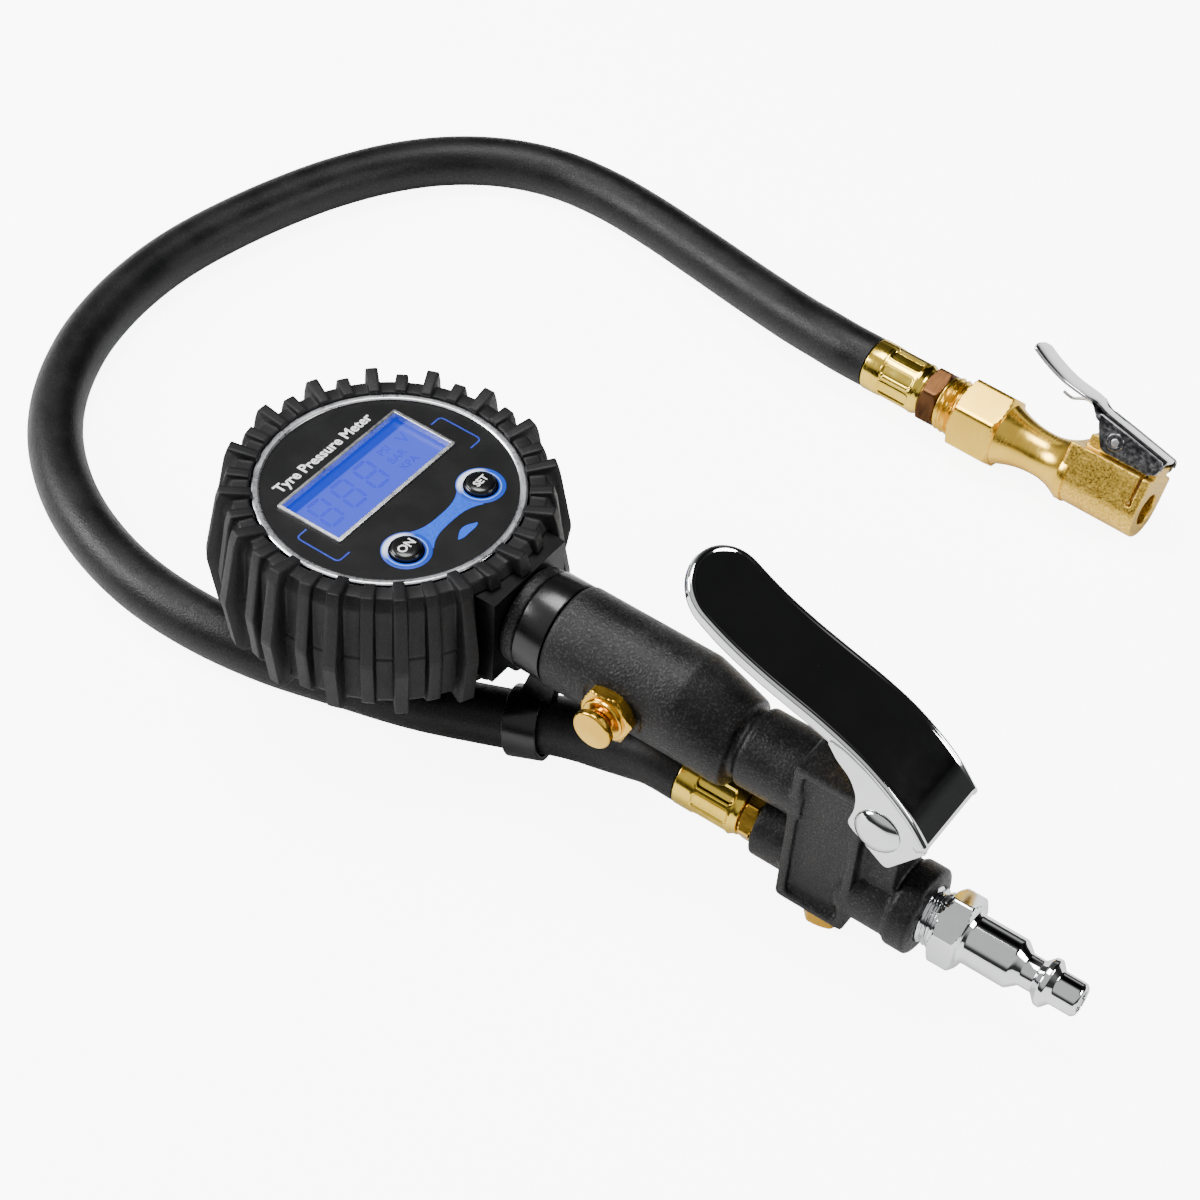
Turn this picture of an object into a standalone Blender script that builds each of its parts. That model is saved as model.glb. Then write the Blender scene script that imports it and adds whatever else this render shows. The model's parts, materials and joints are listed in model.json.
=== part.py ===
"""Tyre inflator with a digital gauge, a squeeze lever, a hose and a clip-on chuck.

The gun lies on a level surface with its gauge face up. +X runs along the barrel from the gauge to the
air inlet, +Z is up, and the origin is the middle of the gun's footprint. All numbers are millimetres
times MM, so the model is in metres.
"""

import math

import bmesh
import bpy
import numpy as np
from mathutils import Matrix, Vector

MM = 0.001
GAP = 0.3

# Stations along the gun, from the gauge's centre to the tip of the inlet plug
GAUGE_X = -72.9
COLLAR_X = -32.1
BAND_X = -28.5
BARREL_X = -20.5
TAPER_X = 13.5
STOP_X = 27.1
REAR_X = 30.3
BLOCK_X = 44.7
BLOCK_END_X = 62.5
INLET_END_X = 78.2
TIP_X = 115.85

# Heights above the surface
FACE_Z = 57.2
BARREL_Z = 42.1
REAR_Z = 40.5
PORT_Z = 19.1
BLOCK_LOW_Z = 9.2
BLOCK_TOP_Z = 53.2

# Radii and half widths
HOUSING_R = 31.6
BARREL_R = 12.6
REAR_R = 9.6
BLOCK_HALF = 9.5
BOSS_R = 8.5
INLET_R = 9.5
PLUG_R = 5.92
HOSE_R = 7.2
FERRULE_R = 7.35

# Joints
PIVOT = (66.7, 0.0, 49.7)
STEM_X = 53.6
BLEED_X = -0.1
BUTTON_X = 15.8
BUTTON_Y = 13.59

# The chuck: where its axis starts, which way it points, and how far its clip leans over
CHUCK_START = (10.6, 155.4, 11.2)
CHUCK_TURN = math.radians(-3.1)
CHUCK_ROLL = math.radians(30.0)
CHUCK_PIVOT = (29.7, 13.1)
CHUCK_HEX_TURN = math.radians(-13.0)
HEAD_HALF = 8.2
HEAD_TOP = 8.7

# The hose's centre line, from the gun's ferrule to the chuck's ferrule
HOSE_ROUTE = [
    (14.0, 0.0, 19.1),
    (5.4, 0.0, 19.0),
    (-1.5, 0.0, 16.9),
    (-8.4, 0.0, 14.6),
    (-15.0, -0.1, 12.6),
    (-22.0, -0.9, 10.6),
    (-28.6, -2.6, 8.8),
    (-39.0, -6.3, 7.5),
    (-55.0, -12.8, 7.25),
    (-73.0, -18.2, 7.25),
    (-92.0, -23.4, 7.25),
    (-112.0, -26.0, 7.25),
    (-132.0, -25.3, 7.25),
    (-151.0, -20.8, 7.25),
    (-168.5, -12.9, 7.25),
    (-184.3, -1.3, 7.25),
    (-196.4, 13.0, 7.25),
    (-205.5, 30.4, 7.25),
    (-210.5, 47.5, 7.25),
    (-212.6, 64.0, 7.25),
    (-212.3, 80.0, 7.25),
    (-209.6, 97.5, 7.25),
    (-205.4, 114.5, 7.25),
    (-199.7, 130.7, 7.25),
    (-191.5, 146.4, 7.25),
    (-181.0, 159.4, 7.25),
    (-167.5, 169.4, 7.25),
    (-152.0, 175.0, 7.25),
    (-135.0, 176.2, 7.25),
    (-117.0, 174.4, 7.25),
    (-98.0, 171.0, 7.3),
    (-79.0, 166.8, 7.9),
    (-61.0, 162.4, 9.2),
    (-49.5, 159.7, 10.6),
    (-41.3, 158.2, 11.2),
    (-32.2, 157.72, 11.2),
]
HOSE_POINTS = 66


# ---------------------------------------------------------------- scene and materials


def clear_scene():
    """Remove whatever the scene holds."""
    for obj in list(bpy.data.objects):
        bpy.data.objects.remove(obj, do_unlink=True)


def material(name, colour, roughness, metallic=0.0):
    """A Principled material of one colour."""
    mat = bpy.data.materials.new(name)
    mat.use_nodes = True
    shader = mat.node_tree.nodes["Principled BSDF"]
    shader.inputs["Base Color"].default_value = (*colour, 1.0)
    shader.inputs["Roughness"].default_value = roughness
    shader.inputs["Metallic"].default_value = metallic
    mat.diffuse_color = (*colour, 1.0)
    return mat


def make_materials():
    """One material for each finish."""
    return {
        "casting": material("black_powder_coat", (0.025, 0.025, 0.028), 0.62),
        "rubber": material("black_rubber", (0.022, 0.022, 0.023), 0.55),
        "plastic": material("black_plastic", (0.018, 0.018, 0.020), 0.45),
        "face": material("face_print", (0.012, 0.012, 0.013), 0.40),
        "chrome": material("chrome", (0.80, 0.81, 0.83), 0.08, 1.0),
        "brass": material("brass", (0.80, 0.55, 0.20), 0.24, 1.0),
        "gold": material("gold_plate", (0.88, 0.68, 0.22), 0.14, 1.0),
        "display": material("blue_display", (0.10, 0.16, 0.85), 0.25),
        "board": material("green_board", (0.03, 0.16, 0.07), 0.5),
        "steel": material("steel", (0.55, 0.55, 0.56), 0.30, 1.0),
        "seal": material("seal_rubber", (0.03, 0.03, 0.03), 0.6),
        "cell": material("battery_wrap", (0.30, 0.31, 0.33), 0.35),
    }


# ---------------------------------------------------------------- mesh helpers


def mesh_object(name, verts, faces, mat, smooth_deg=32.0):
    """An object from points in millimetres, with its normals facing out."""
    bm = bmesh.new()
    made = [bm.verts.new(Vector(v) * MM) for v in verts]
    for face in faces:
        bm.faces.new([made[i] for i in face])
    bmesh.ops.recalc_face_normals(bm, faces=bm.faces)
    mesh = bpy.data.meshes.new(name)
    bm.to_mesh(mesh)
    bm.free()
    mesh.shade_smooth()
    mesh.set_sharp_from_angle(angle=math.radians(smooth_deg))
    mesh.materials.append(mat)
    obj = bpy.data.objects.new(name, mesh)
    bpy.context.collection.objects.link(obj)
    return obj


def place(point, frame):
    """A point (along, across, up) in a frame given by its origin and three directions."""
    origin, along, across, up = frame
    return origin + along * point[0] + across * point[1] + up * point[2]


def axis_frame(origin, direction):
    """A frame whose along is the direction given as a letter, with its sign."""
    table = {
        "+x": ((1, 0, 0), (0, 1, 0), (0, 0, 1)),
        "-x": ((-1, 0, 0), (0, -1, 0), (0, 0, 1)),
        "+y": ((0, 1, 0), (-1, 0, 0), (0, 0, 1)),
        "-y": ((0, -1, 0), (1, 0, 0), (0, 0, 1)),
        "+z": ((0, 0, 1), (1, 0, 0), (0, 1, 0)),
        "-z": ((0, 0, -1), (-1, 0, 0), (0, 1, 0)),
    }
    return (Vector(origin), *[Vector(v) for v in table[direction]])


def turned(name, profile, frame, mat, sides=32, smooth_deg=32.0):
    """Turn a profile of (along, radius) points about the frame's axis.

    A profile that starts and ends on the axis makes a solid, and any other one is closed into a ring.
    """
    points = list(profile)
    flat_start = points[0][1] < 1e-6 and points[0][0] == points[1][0]
    flat_end = points[-1][1] < 1e-6 and points[-1][0] == points[-2][0]
    if flat_start:
        points.pop(0)
    if flat_end:
        points.pop()
    verts = []
    rows = []
    for along, radius in points:
        if radius < 1e-6:
            rows.append([len(verts)] * sides)
            verts.append(place((along, 0, 0), frame))
            continue
        rows.append(list(range(len(verts), len(verts) + sides)))
        for k in range(sides):
            turn = 2 * math.pi * k / sides
            point = (along, radius * math.cos(turn), radius * math.sin(turn))
            verts.append(place(point, frame))
    pairs = list(zip(rows, rows[1:]))
    faces = []
    if profile[0][1] > 1e-6:
        pairs.append((rows[-1], rows[0]))
    if flat_start:
        faces.append(tuple(rows[0]))
    if flat_end:
        faces.append(tuple(rows[-1]))
    for low, high in pairs:
        for k in range(sides):
            j = (k + 1) % sides
            corners = (low[k], high[k], high[j], low[j])
            faces.append(tuple(dict.fromkeys(corners)))
    return mesh_object(name, verts, faces, mat, smooth_deg)


def rod(name, start, end, radius, frame, mat, sides=32):
    """A plain round bar between two stations of the frame."""
    profile = [(start, 0), (start, radius), (end, radius), (end, 0)]
    return turned(name, profile, frame, mat, sides)


def lofted(name, rings, mat, smooth_deg=32.0):
    """Join closed rings of points, each with the same count, and cap both ends."""
    count = len(rings[0])
    verts = [point for ring in rings for point in ring]
    faces = []
    for i in range(len(rings) - 1):
        for k in range(count):
            j = (k + 1) % count
            low, high = i * count, (i + 1) * count
            faces.append((low + k, high + k, high + j, low + j))
    faces.append(tuple(range(count)))
    faces.append(tuple(range((len(rings) - 1) * count, len(rings) * count)))
    return mesh_object(name, verts, faces, mat, smooth_deg)


def prism(name, outline, low, high, frame, mat):
    """An outline of (along, up) points carried across from low to high."""
    rings = [[place((a, c, u), frame) for a, u in outline] for c in (low, high)]
    return lofted(name, rings, mat)


def box(name, low, high, mat):
    """A block between two corners."""
    outline = [(low[0], low[2]), (high[0], low[2]), (high[0], high[2]), (low[0], high[2])]
    return prism(name, outline, low[1], high[1], axis_frame((0, 0, 0), "+x"), mat)


def circle(radius, sides, start=0.0):
    """Points round a circle, as (across, up)."""
    turns = [start + 2 * math.pi * k / sides for k in range(sides)]
    return [(radius * math.cos(t), radius * math.sin(t)) for t in turns]


def hexagon(name, start, end, flats, frame, mat, chamfer=0.8, turn=0.0):
    """A hexagonal bar with chamfered corners at both ends."""
    corner = flats / math.sqrt(3.0)
    rings = []
    for along, radius in ((start, 0.94), (start + chamfer, 1.0), (end - chamfer, 1.0), (end, 0.94)):
        ring = circle(corner * radius, 6, turn)
        rings.append([place((along, c, u), frame) for c, u in ring])
    return lofted(name, rings, mat, 20.0)


def guide(obj):
    """Hide an object that only helps to shape another."""
    obj.hide_render = True
    obj.display_type = "WIRE"
    return obj


def combine(target, helper, operation):
    """Add or cut a helper with an exact Boolean."""
    guide(helper)
    mod = target.modifiers.new(helper.name, "BOOLEAN")
    mod.operation = operation
    mod.solver = "EXACT"
    mod.object = helper
    return target


def cut(target, *helpers):
    """Cut each helper out of the target."""
    for helper in helpers:
        combine(target, helper, "DIFFERENCE")
    return target


def add(target, *helpers):
    """Join each helper to the target."""
    for helper in helpers:
        combine(target, helper, "UNION")
    return target


def on_axis(obj, point):
    """Move an object's origin to a point on its joint's axis, with its shape left in place."""
    offset = Vector(point) * MM
    obj.data.transform(Matrix.Translation(-offset))
    obj.location = offset
    return obj


def arc(centre, radius, first_deg, last_deg, steps):
    """Points along an arc."""
    turns = np.radians(np.linspace(first_deg, last_deg, steps))
    return [(centre[0] + radius * math.cos(t), centre[1] + radius * math.sin(t)) for t in turns]


def smooth_path(points, count):
    """Read evenly spaced points from a smooth curve through the given ones."""
    pts = np.array(points, dtype=float)
    ends = np.vstack([2 * pts[0] - pts[1], pts, 2 * pts[-1] - pts[-2]])
    fine = []
    for i in range(1, len(ends) - 2):
        before, here, after, beyond = ends[i - 1], ends[i], ends[i + 1], ends[i + 2]
        for t in np.linspace(0.0, 1.0, 24, endpoint=False):
            fine.append(
                0.5
                * (
                    2 * here
                    + (after - before) * t
                    + (2 * before - 5 * here + 4 * after - beyond) * t**2
                    + (3 * here - before - 3 * after + beyond) * t**3
                )
            )
    fine.append(ends[-2])
    fine = np.array(fine)
    run = np.concatenate([[0.0], np.cumsum(np.linalg.norm(np.diff(fine, axis=0), axis=1))])
    wanted = np.linspace(0.0, run[-1], count)
    return np.stack([np.interp(wanted, run, fine[:, k]) for k in range(3)], axis=1)


def wire(name, points, radius, mat, resolution=2, cyclic=False):
    """A round wire along points, as a filled bevelled curve."""
    curve = bpy.data.curves.new(name, "CURVE")
    curve.dimensions = "3D"
    curve.bevel_depth = radius * MM
    curve.bevel_resolution = resolution
    curve.use_fill_caps = True
    spline = curve.splines.new("POLY")
    spline.points.add(len(points) - 1)
    for spot, point in zip(spline.points, points):
        spot.co = (*(Vector(point) * MM), 1.0)
    spline.use_cyclic_u = cyclic
    curve.materials.append(mat)
    obj = bpy.data.objects.new(name, curve)
    bpy.context.collection.objects.link(obj)
    return obj


def coil(radius, low, high, turns, steps, frame, ground=0.75):
    """Points of a compression spring, with a flatter first and last part turn."""
    points = []
    for i in range(int(turns * steps) + 1):
        part = i / (turns * steps)
        lift = min(max((part * turns - ground) / (turns - 2 * ground), 0.0), 1.0)
        turn = 2 * math.pi * i / steps
        point = (low + (high - low) * lift, radius * math.cos(turn), radius * math.sin(turn))
        points.append(place(point, frame))
    return points


# ---------------------------------------------------------------- gauge head

# The ribs stand a little further apart on the side that faces the neck
NECK_RIBS = 6
FAR_RIBS = 26
NECK_START = math.radians(-25.4)
NECK_END = math.radians(47.4)
RIB_HALF = math.radians(2.15)
RIB_DRAFT = math.radians(0.45)

# Each row is one ring of the boot, from its inner rim, over the ribs and down to its base:
# (radius, height over the face) between ribs, on a large rib and on a small rib.
BOOT_ROWS = [
    ((31.95, -1.6), (31.95, -1.6), (31.95, -1.6)),
    ((32.5, 0.4), (33.0, 1.9), (33.2, 1.3)),
    ((36.2, 0.2), (39.3, 2.4), (37.9, 1.4)),
    ((37.6, -3.0), (39.9, -0.8), (38.4, -1.6)),
    ((38.2, -17.5), (43.0, -17.7), (40.9, -17.5)),
    ((37.4, -31.5), (41.0, -32.3), (39.6, -30.6)),
    ((36.2, -33.4), (39.2, -34.6), (38.2, -32.4)),
    ((29.0, -35.6), (29.0, -35.6), (29.0, -35.6)),
    ((29.0, -34.3), (29.0, -34.3), (29.0, -34.3)),
    ((31.95, -34.3), (31.95, -34.3), (31.95, -34.3)),
]


def rib_directions():
    """The direction of every rib round the gauge; even ones are large."""
    near = np.linspace(NECK_START, NECK_END, NECK_RIBS, endpoint=False)
    far = np.linspace(NECK_END, NECK_START + 2 * math.pi, FAR_RIBS, endpoint=False)
    return [*near, *far]


def gauge_boot(mats):
    """The rubber boot: a ribbed ring, with a window where the neck comes out."""
    verts = []
    ribs = rib_directions()
    for between, large, small in BOOT_ROWS:
        for k, centre in enumerate(ribs):
            rib = large if k % 2 == 0 else small
            for side, spot in (
                (-RIB_HALF - RIB_DRAFT, between),
                (-RIB_HALF + RIB_DRAFT, rib),
                (RIB_HALF - RIB_DRAFT, rib),
                (RIB_HALF + RIB_DRAFT, between),
            ):
                turn = centre + side
                x = GAUGE_X + spot[0] * math.cos(turn)
                verts.append((x, spot[0] * math.sin(turn), FACE_Z + spot[1]))
    count = 4 * len(ribs)
    rows = len(BOOT_ROWS)
    faces = []
    for i in range(rows):
        for k in range(count):
            j = (k + 1) % count
            low, high = i * count, ((i + 1) % rows) * count
            faces.append((low + k, high + k, high + j, low + j))
    boot = mesh_object("gauge_boot", verts, faces, mats["rubber"], 25.0)
    low = (GAUGE_X + 24.0, -13.6, FACE_Z - 28.2)
    high = (GAUGE_X + 50.0, 13.6, FACE_Z - 2.4)
    return cut(boot, box("boot_window", low, high, mats["rubber"]))


def gauge_housing(mats):
    """The plastic cup, its neck block and the spigot that goes into the barrel."""
    up = axis_frame((GAUGE_X, 0, FACE_Z), "+z")
    profile = [
        (-34.0, 0),
        (-34.0, HOUSING_R),
        (-2.0, HOUSING_R),
        (-2.0, 29.5),
        (-32.2, 29.5),
        (-32.2, 0),
    ]
    cup = turned("gauge_housing", profile, up, mats["plastic"], 48)
    neck_low = (GAUGE_X + 28.5, -13.2, FACE_Z - 27.8)
    neck_high = (COLLAR_X - GAP, 13.2, FACE_Z - 2.8)
    along = axis_frame((0, 0, BARREL_Z), "+x")
    neck = box("neck_block", neck_low, neck_high, mats["plastic"])
    spigot_profile = [
        (COLLAR_X - 2.0, 0),
        (COLLAR_X - 2.0, 6.2),
        (COLLAR_X + 5.0, 6.2),
        (COLLAR_X + 5.0, 4.8),
        (COLLAR_X + 7.0, 4.8),
        (COLLAR_X + 7.0, 6.2),
        (COLLAR_X + 9.0, 6.2),
        (COLLAR_X + 9.0, 0),
    ]
    spigot = turned("spigot", spigot_profile, along, mats["plastic"], 24)
    passage = rod("neck_passage", GAUGE_X + 25.0, COLLAR_X + 10.0, 2.3, along, mats["plastic"], 16)
    low = (GAUGE_X - 25.0, -14.0, FACE_Z - 35.0)
    high = (GAUGE_X + 25.0, 14.0, FACE_Z - 31.0)
    hatch = box("battery_hatch", low, high, mats["plastic"])
    add(cup, neck, spigot)
    cut(cup, passage, hatch)
    for k, (x, y) in enumerate(door_screw_spots()):
        spot = axis_frame((x, y, FACE_Z), "+z")
        cut(cup, rod(f"screw_hole_{k}", -35.0, -31.0, 1.2, spot, mats["plastic"], 12))
    return cup


def door_screw_spots():
    """Where the door's screws go, as (x, y)."""
    turns = [math.radians(a) for a in (97.0, 217.0, 337.0)]
    return [(GAUGE_X + 25.9 * math.cos(t), 25.9 * math.sin(t)) for t in turns]


def battery_door(mats):
    """The round back cover and its screws."""
    up = axis_frame((GAUGE_X, 0, FACE_Z), "+z")
    profile = [(-36.0, 0), (-36.0, 28.0), (-35.4, 28.6), (-34.3, 28.6), (-34.3, 0)]
    door = turned("battery_door", profile, up, mats["plastic"], 36)
    for k, (x, y) in enumerate(door_screw_spots()):
        spot = axis_frame((x, y, FACE_Z), "+z")
        cut(door, rod(f"door_hole_{k}", -37.0, -33.0, 1.3, spot, mats["plastic"], 12))
        profile = [
            (-37.2, 0),
            (-37.2, 1.5),
            (-36.8, 2.0),
            (-36.3, 2.0),
            (-36.3, 0.95),
            (-32.6, 0.95),
            (-32.6, 0),
        ]
        turned(f"door_screw_{k + 1}", profile, spot, mats["steel"], 10)


def face_parts(mats):
    """Ring, face plate, display and its light, board and key pad."""
    up = axis_frame((GAUGE_X, 0, FACE_Z), "+z")
    ring_profile = [(-0.05, 30.0), (-0.05, 31.75), (0.3, 31.5), (0.3, 30.2)]
    turned("bezel_ring", ring_profile, up, mats["chrome"], 48)
    plate = rod("face_plate", -1.6, -0.35, 31.3, up, mats["face"], 48)
    half_x, half_y = 8.9, 20.8
    screen_x = GAUGE_X - 6.6
    low = (screen_x - half_x, -half_y - 0.16, FACE_Z - 3.0)
    high = (screen_x + half_x, half_y - 0.16, FACE_Z + 1.0)
    cut(plate, box("display_hole", low, high, mats["face"]))
    for name, side in (("on", -1), ("func", 1)):
        spot = axis_frame((GAUGE_X + BUTTON_X, side * BUTTON_Y, FACE_Z), "+z")
        cut(plate, rod(f"{name}_hole", -3.0, 1.0, 4.2, spot, mats["face"], 24))
    frame_low = (screen_x - 9.3, -21.34, FACE_Z - 0.05)
    frame_high = (screen_x + 9.3, 21.02, FACE_Z + 0.35)
    frame = box("display_frame", frame_low, frame_high, mats["chrome"])
    low = (screen_x - 8.2, -20.24, FACE_Z - 1.0)
    high = (screen_x + 8.2, 19.92, FACE_Z + 1.0)
    cut(frame, box("frame_hole", low, high, mats["chrome"]))
    low = (screen_x - 9.4, -21.5, FACE_Z - 3.2)
    high = (screen_x + 9.4, 21.2, FACE_Z - 1.95)
    box("lcd_panel", low, high, mats["display"])
    low = (screen_x - 9.4, -21.5, FACE_Z - 5.4)
    high = (screen_x + 9.4, 21.2, FACE_Z - 3.5)
    box("backlight_panel", low, high, mats["plastic"])
    rod("circuit_board", -9.6, -8.0, 28.0, up, mats["board"], 32)
    low = (GAUGE_X + 10.0, -18.5, FACE_Z - 7.7)
    high = (GAUGE_X + 21.5, 18.5, FACE_Z - 5.0)
    box("button_keypad", low, high, mats["seal"])


def face_buttons(mats):
    """Two domed caps that move down by the button travel."""
    for name, side in (("on_button", -1), ("func_button", 1)):
        spot = axis_frame((GAUGE_X + BUTTON_X, side * BUTTON_Y, FACE_Z), "+z")
        dome = [(0.55 + 0.45 * math.cos(t), 3.9 * math.sin(t)) for t in np.linspace(0, math.pi / 2, 5)]
        profile = [(-4.0, 0), (-4.0, 5.0), (-2.6, 5.0), (-2.6, 3.9), *reversed(dome)]
        cap = turned(name, profile, spot, mats["plastic"], 20)
        on_axis(cap, (GAUGE_X + BUTTON_X, side * BUTTON_Y, FACE_Z))


def gauge_inside(mats):
    """Batteries with their contacts, the pressure sensor and the neck's seal."""
    cell_z = FACE_Z - 26.3
    for k, side in enumerate((-1, 1)):
        spot = axis_frame((GAUGE_X, side * 5.9, cell_z), "+x")
        ends = (-22.0, 0), (-22.0, 5.2), (21.0, 5.2), (21.0, 1.9), (22.0, 1.9), (22.0, 0)
        turned(f"battery_cell_{k + 1}", ends, spot, mats["cell"], 16)
        near, far = sorted((GAUGE_X + side * 22.3, GAUGE_X + side * 22.9))
        low = (near, -10.0, cell_z - 4.5)
        high = (far, 10.0, cell_z + 4.5)
        box(f"battery_contact_{k + 1}", low, high, mats["steel"])
    spot = axis_frame((GAUGE_X, 0, BARREL_Z), "+x")
    profile = [(14.0, 0), (14.0, 4.6), (24.0, 4.6), (24.0, 3.0), (26.0, 3.0), (26.0, 1.9), (34.0, 1.9), (34.0, 0)]
    turned("pressure_sensor", profile, spot, mats["steel"], 16)
    along = axis_frame((COLLAR_X + 6.0, 0, BARREL_Z), "+x")
    seal = [(0.7 * math.cos(t), 5.6 + 0.7 * math.sin(t)) for t in np.linspace(0, 2 * math.pi, 7)[:-1]]
    turned("neck_oring", seal, along, mats["seal"], 20)


# ---------------------------------------------------------------- gun body


def barrel_sections():
    """The barrel from its collar to the finger stop, as (x, radius, centre height)."""
    return [
        (COLLAR_X, 10.9, BARREL_Z),
        (COLLAR_X + 0.8, 11.8, BARREL_Z),
        (BAND_X - 0.1, 11.9, BARREL_Z),
        (BAND_X, 10.9, BARREL_Z),
        (BARREL_X - 0.1, 10.9, BARREL_Z),
        (BARREL_X, 12.2, BARREL_Z),
        (BARREL_X + 0.7, BARREL_R, BARREL_Z),
        (TAPER_X, BARREL_R, BARREL_Z),
        (19.0, 11.9, BARREL_Z - 1.2),
        (STOP_X - 2.0, 11.2, BARREL_Z - 2.8),
        (STOP_X, 10.7, BARREL_Z - 3.0),
        (STOP_X + 0.9, 8.3, REAR_Z - 0.4),
        (REAR_X - 0.9, 8.3, REAR_Z),
        (REAR_X, REAR_R, REAR_Z),
        (BLOCK_X + 3.0, REAR_R, REAR_Z),
    ]


def gun_barrel(mats):
    """The casting's barrel, lofted through its round sections."""
    rings = []
    for x, radius, z in barrel_sections():
        rings.append([(x, c, z + u) for c, u in circle(radius, 36)])
    return lofted("gun_body", rings, mats["casting"])


def gun_block(mats):
    """The upright valve block with its rounded top corners."""
    outline = [
        (BLOCK_X, BLOCK_LOW_Z + 1.0),
        (BLOCK_X + 1.0, BLOCK_LOW_Z),
        (BLOCK_END_X - 1.0, BLOCK_LOW_Z),
        (BLOCK_END_X, BLOCK_LOW_Z + 1.0),
        (BLOCK_END_X, BLOCK_TOP_Z - 2.0),
        (BLOCK_END_X - 2.0, BLOCK_TOP_Z),
        (BLOCK_X + 1.0, BLOCK_TOP_Z),
        (BLOCK_X, BLOCK_TOP_Z - 1.0),
    ]
    frame = axis_frame((0, 0, 0), "+x")
    return prism("valve_block", outline, -BLOCK_HALF, BLOCK_HALF, frame, mats["casting"])


def pivot_lug(mats):
    """The lug that carries the lever's rivet, down to the round inlet."""
    top = arc((PIVOT[0], PIVOT[2]), 6.2, 120.0, -20.0, 9)
    outline = [(BLOCK_END_X - 3.0, PORT_Z), (BLOCK_END_X - 3.0, PIVOT[2] + 4.0), *top, (71.0, 36.0), (71.0, PORT_Z)]
    lug = prism("pivot_lug", outline, -6.2, 6.2, axis_frame((0, 0, 0), "+x"), mats["casting"])
    return lug


def inlet_sections():
    """The round inlet and its collar, as (x, radius) points of a solid."""
    return [
        (BLOCK_END_X - 4.0, 0),
        (BLOCK_END_X - 4.0, INLET_R),
        (71.4, INLET_R),
        (72.3, 10.3),
        (73.4, 10.6),
        (76.6, 10.6),
        (77.8, 10.0),
        (INLET_END_X, 9.0),
        (INLET_END_X, 0),
    ]


def bore(name, start, end, radius, origin, direction, mats, sides=16):
    """A round hole, ready to be cut."""
    return rod(name, start, end, radius, axis_frame(origin, direction), mats["casting"], sides)


def gun_body(mats):
    """The one-piece casting, with its air passages."""
    body = gun_barrel(mats)
    port = axis_frame((0, 0, PORT_Z), "+x")
    boss_profile = [(35.6, 0), (35.6, BOSS_R - 0.8), (36.4, BOSS_R), (BLOCK_X + 2.5, BOSS_R), (BLOCK_X + 2.5, 0)]
    pad_frame = axis_frame(PIVOT, "+y")
    add(
        body,
        gun_block(mats),
        pivot_lug(mats),
        turned("hose_boss", boss_profile, port, mats["casting"], 32),
        turned("inlet_body", inlet_sections(), port, mats["casting"], 32),
        rod("pivot_pad", -9.45, 9.45, 5.2, pad_frame, mats["casting"], 24),
    )
    barrel = (0, 0, BARREL_Z)
    level = (0, 0, PORT_Z)
    stem = (STEM_X, 0, 0)
    cut(
        body,
        bore("barrel_bore", COLLAR_X - 1.0, COLLAR_X + 14.0, 6.5, barrel, "+x", mats, 20),
        bore("barrel_passage", COLLAR_X + 10.0, 41.0, 4.0, barrel, "+x", mats),
        bore("drop_passage", PORT_Z, BARREL_Z, 1.8, (39.4, 0, 0), "+z", mats, 10),
        bore("valve_passage", 39.6, STEM_X, 1.8, (0, 0, 30.0), "+x", mats, 10),
        bore("stem_guide", 32.0, BLOCK_TOP_Z + 1.0, 2.58, stem, "+z", mats),
        bore("upper_chamber", 27.5, 33.0, 3.4, stem, "+z", mats),
        bore("lower_chamber", BLOCK_LOW_Z - 1.0, 27.5, 4.6, stem, "+z", mats, 20),
        bore("inlet_thread", 66.0, INLET_END_X + 1.0, 6.9, level, "+x", mats, 24),
        bore("inlet_passage", STEM_X, 67.0, 2.8, level, "+x", mats, 16),
        bore("hose_thread", 35.0, 42.5, 4.7, level, "+x", mats, 20),
        bore("bleed_thread", 1.0, 15.0, 3.6, (BLEED_X, 0, BARREL_Z), "-y", mats, 20),
        bore("rivet_hole", -12.0, 12.0, 2.1, PIVOT, "+y", mats, 24),
    )
    for side in (-1, 1):
        near, far = sorted((side * (BLOCK_HALF - 1.5), side * (BLOCK_HALF + 2.0)))
        low = (BLOCK_X + 2.3, near, BLOCK_LOW_Z + 2.3)
        high = (BLOCK_END_X - 2.2, far, BLOCK_TOP_Z - 2.2)
        cut(body, box(f"block_recess_{side}", low, high, mats["casting"]))
    spot = axis_frame((BLEED_X, 0, BARREL_Z), "-y")
    seat = rod("bleed_seat", 11.9, 15.0, 7.9, spot, mats["casting"], 24)
    return cut(body, seat)


# ---------------------------------------------------------------- valve, inlet and bleed


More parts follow.
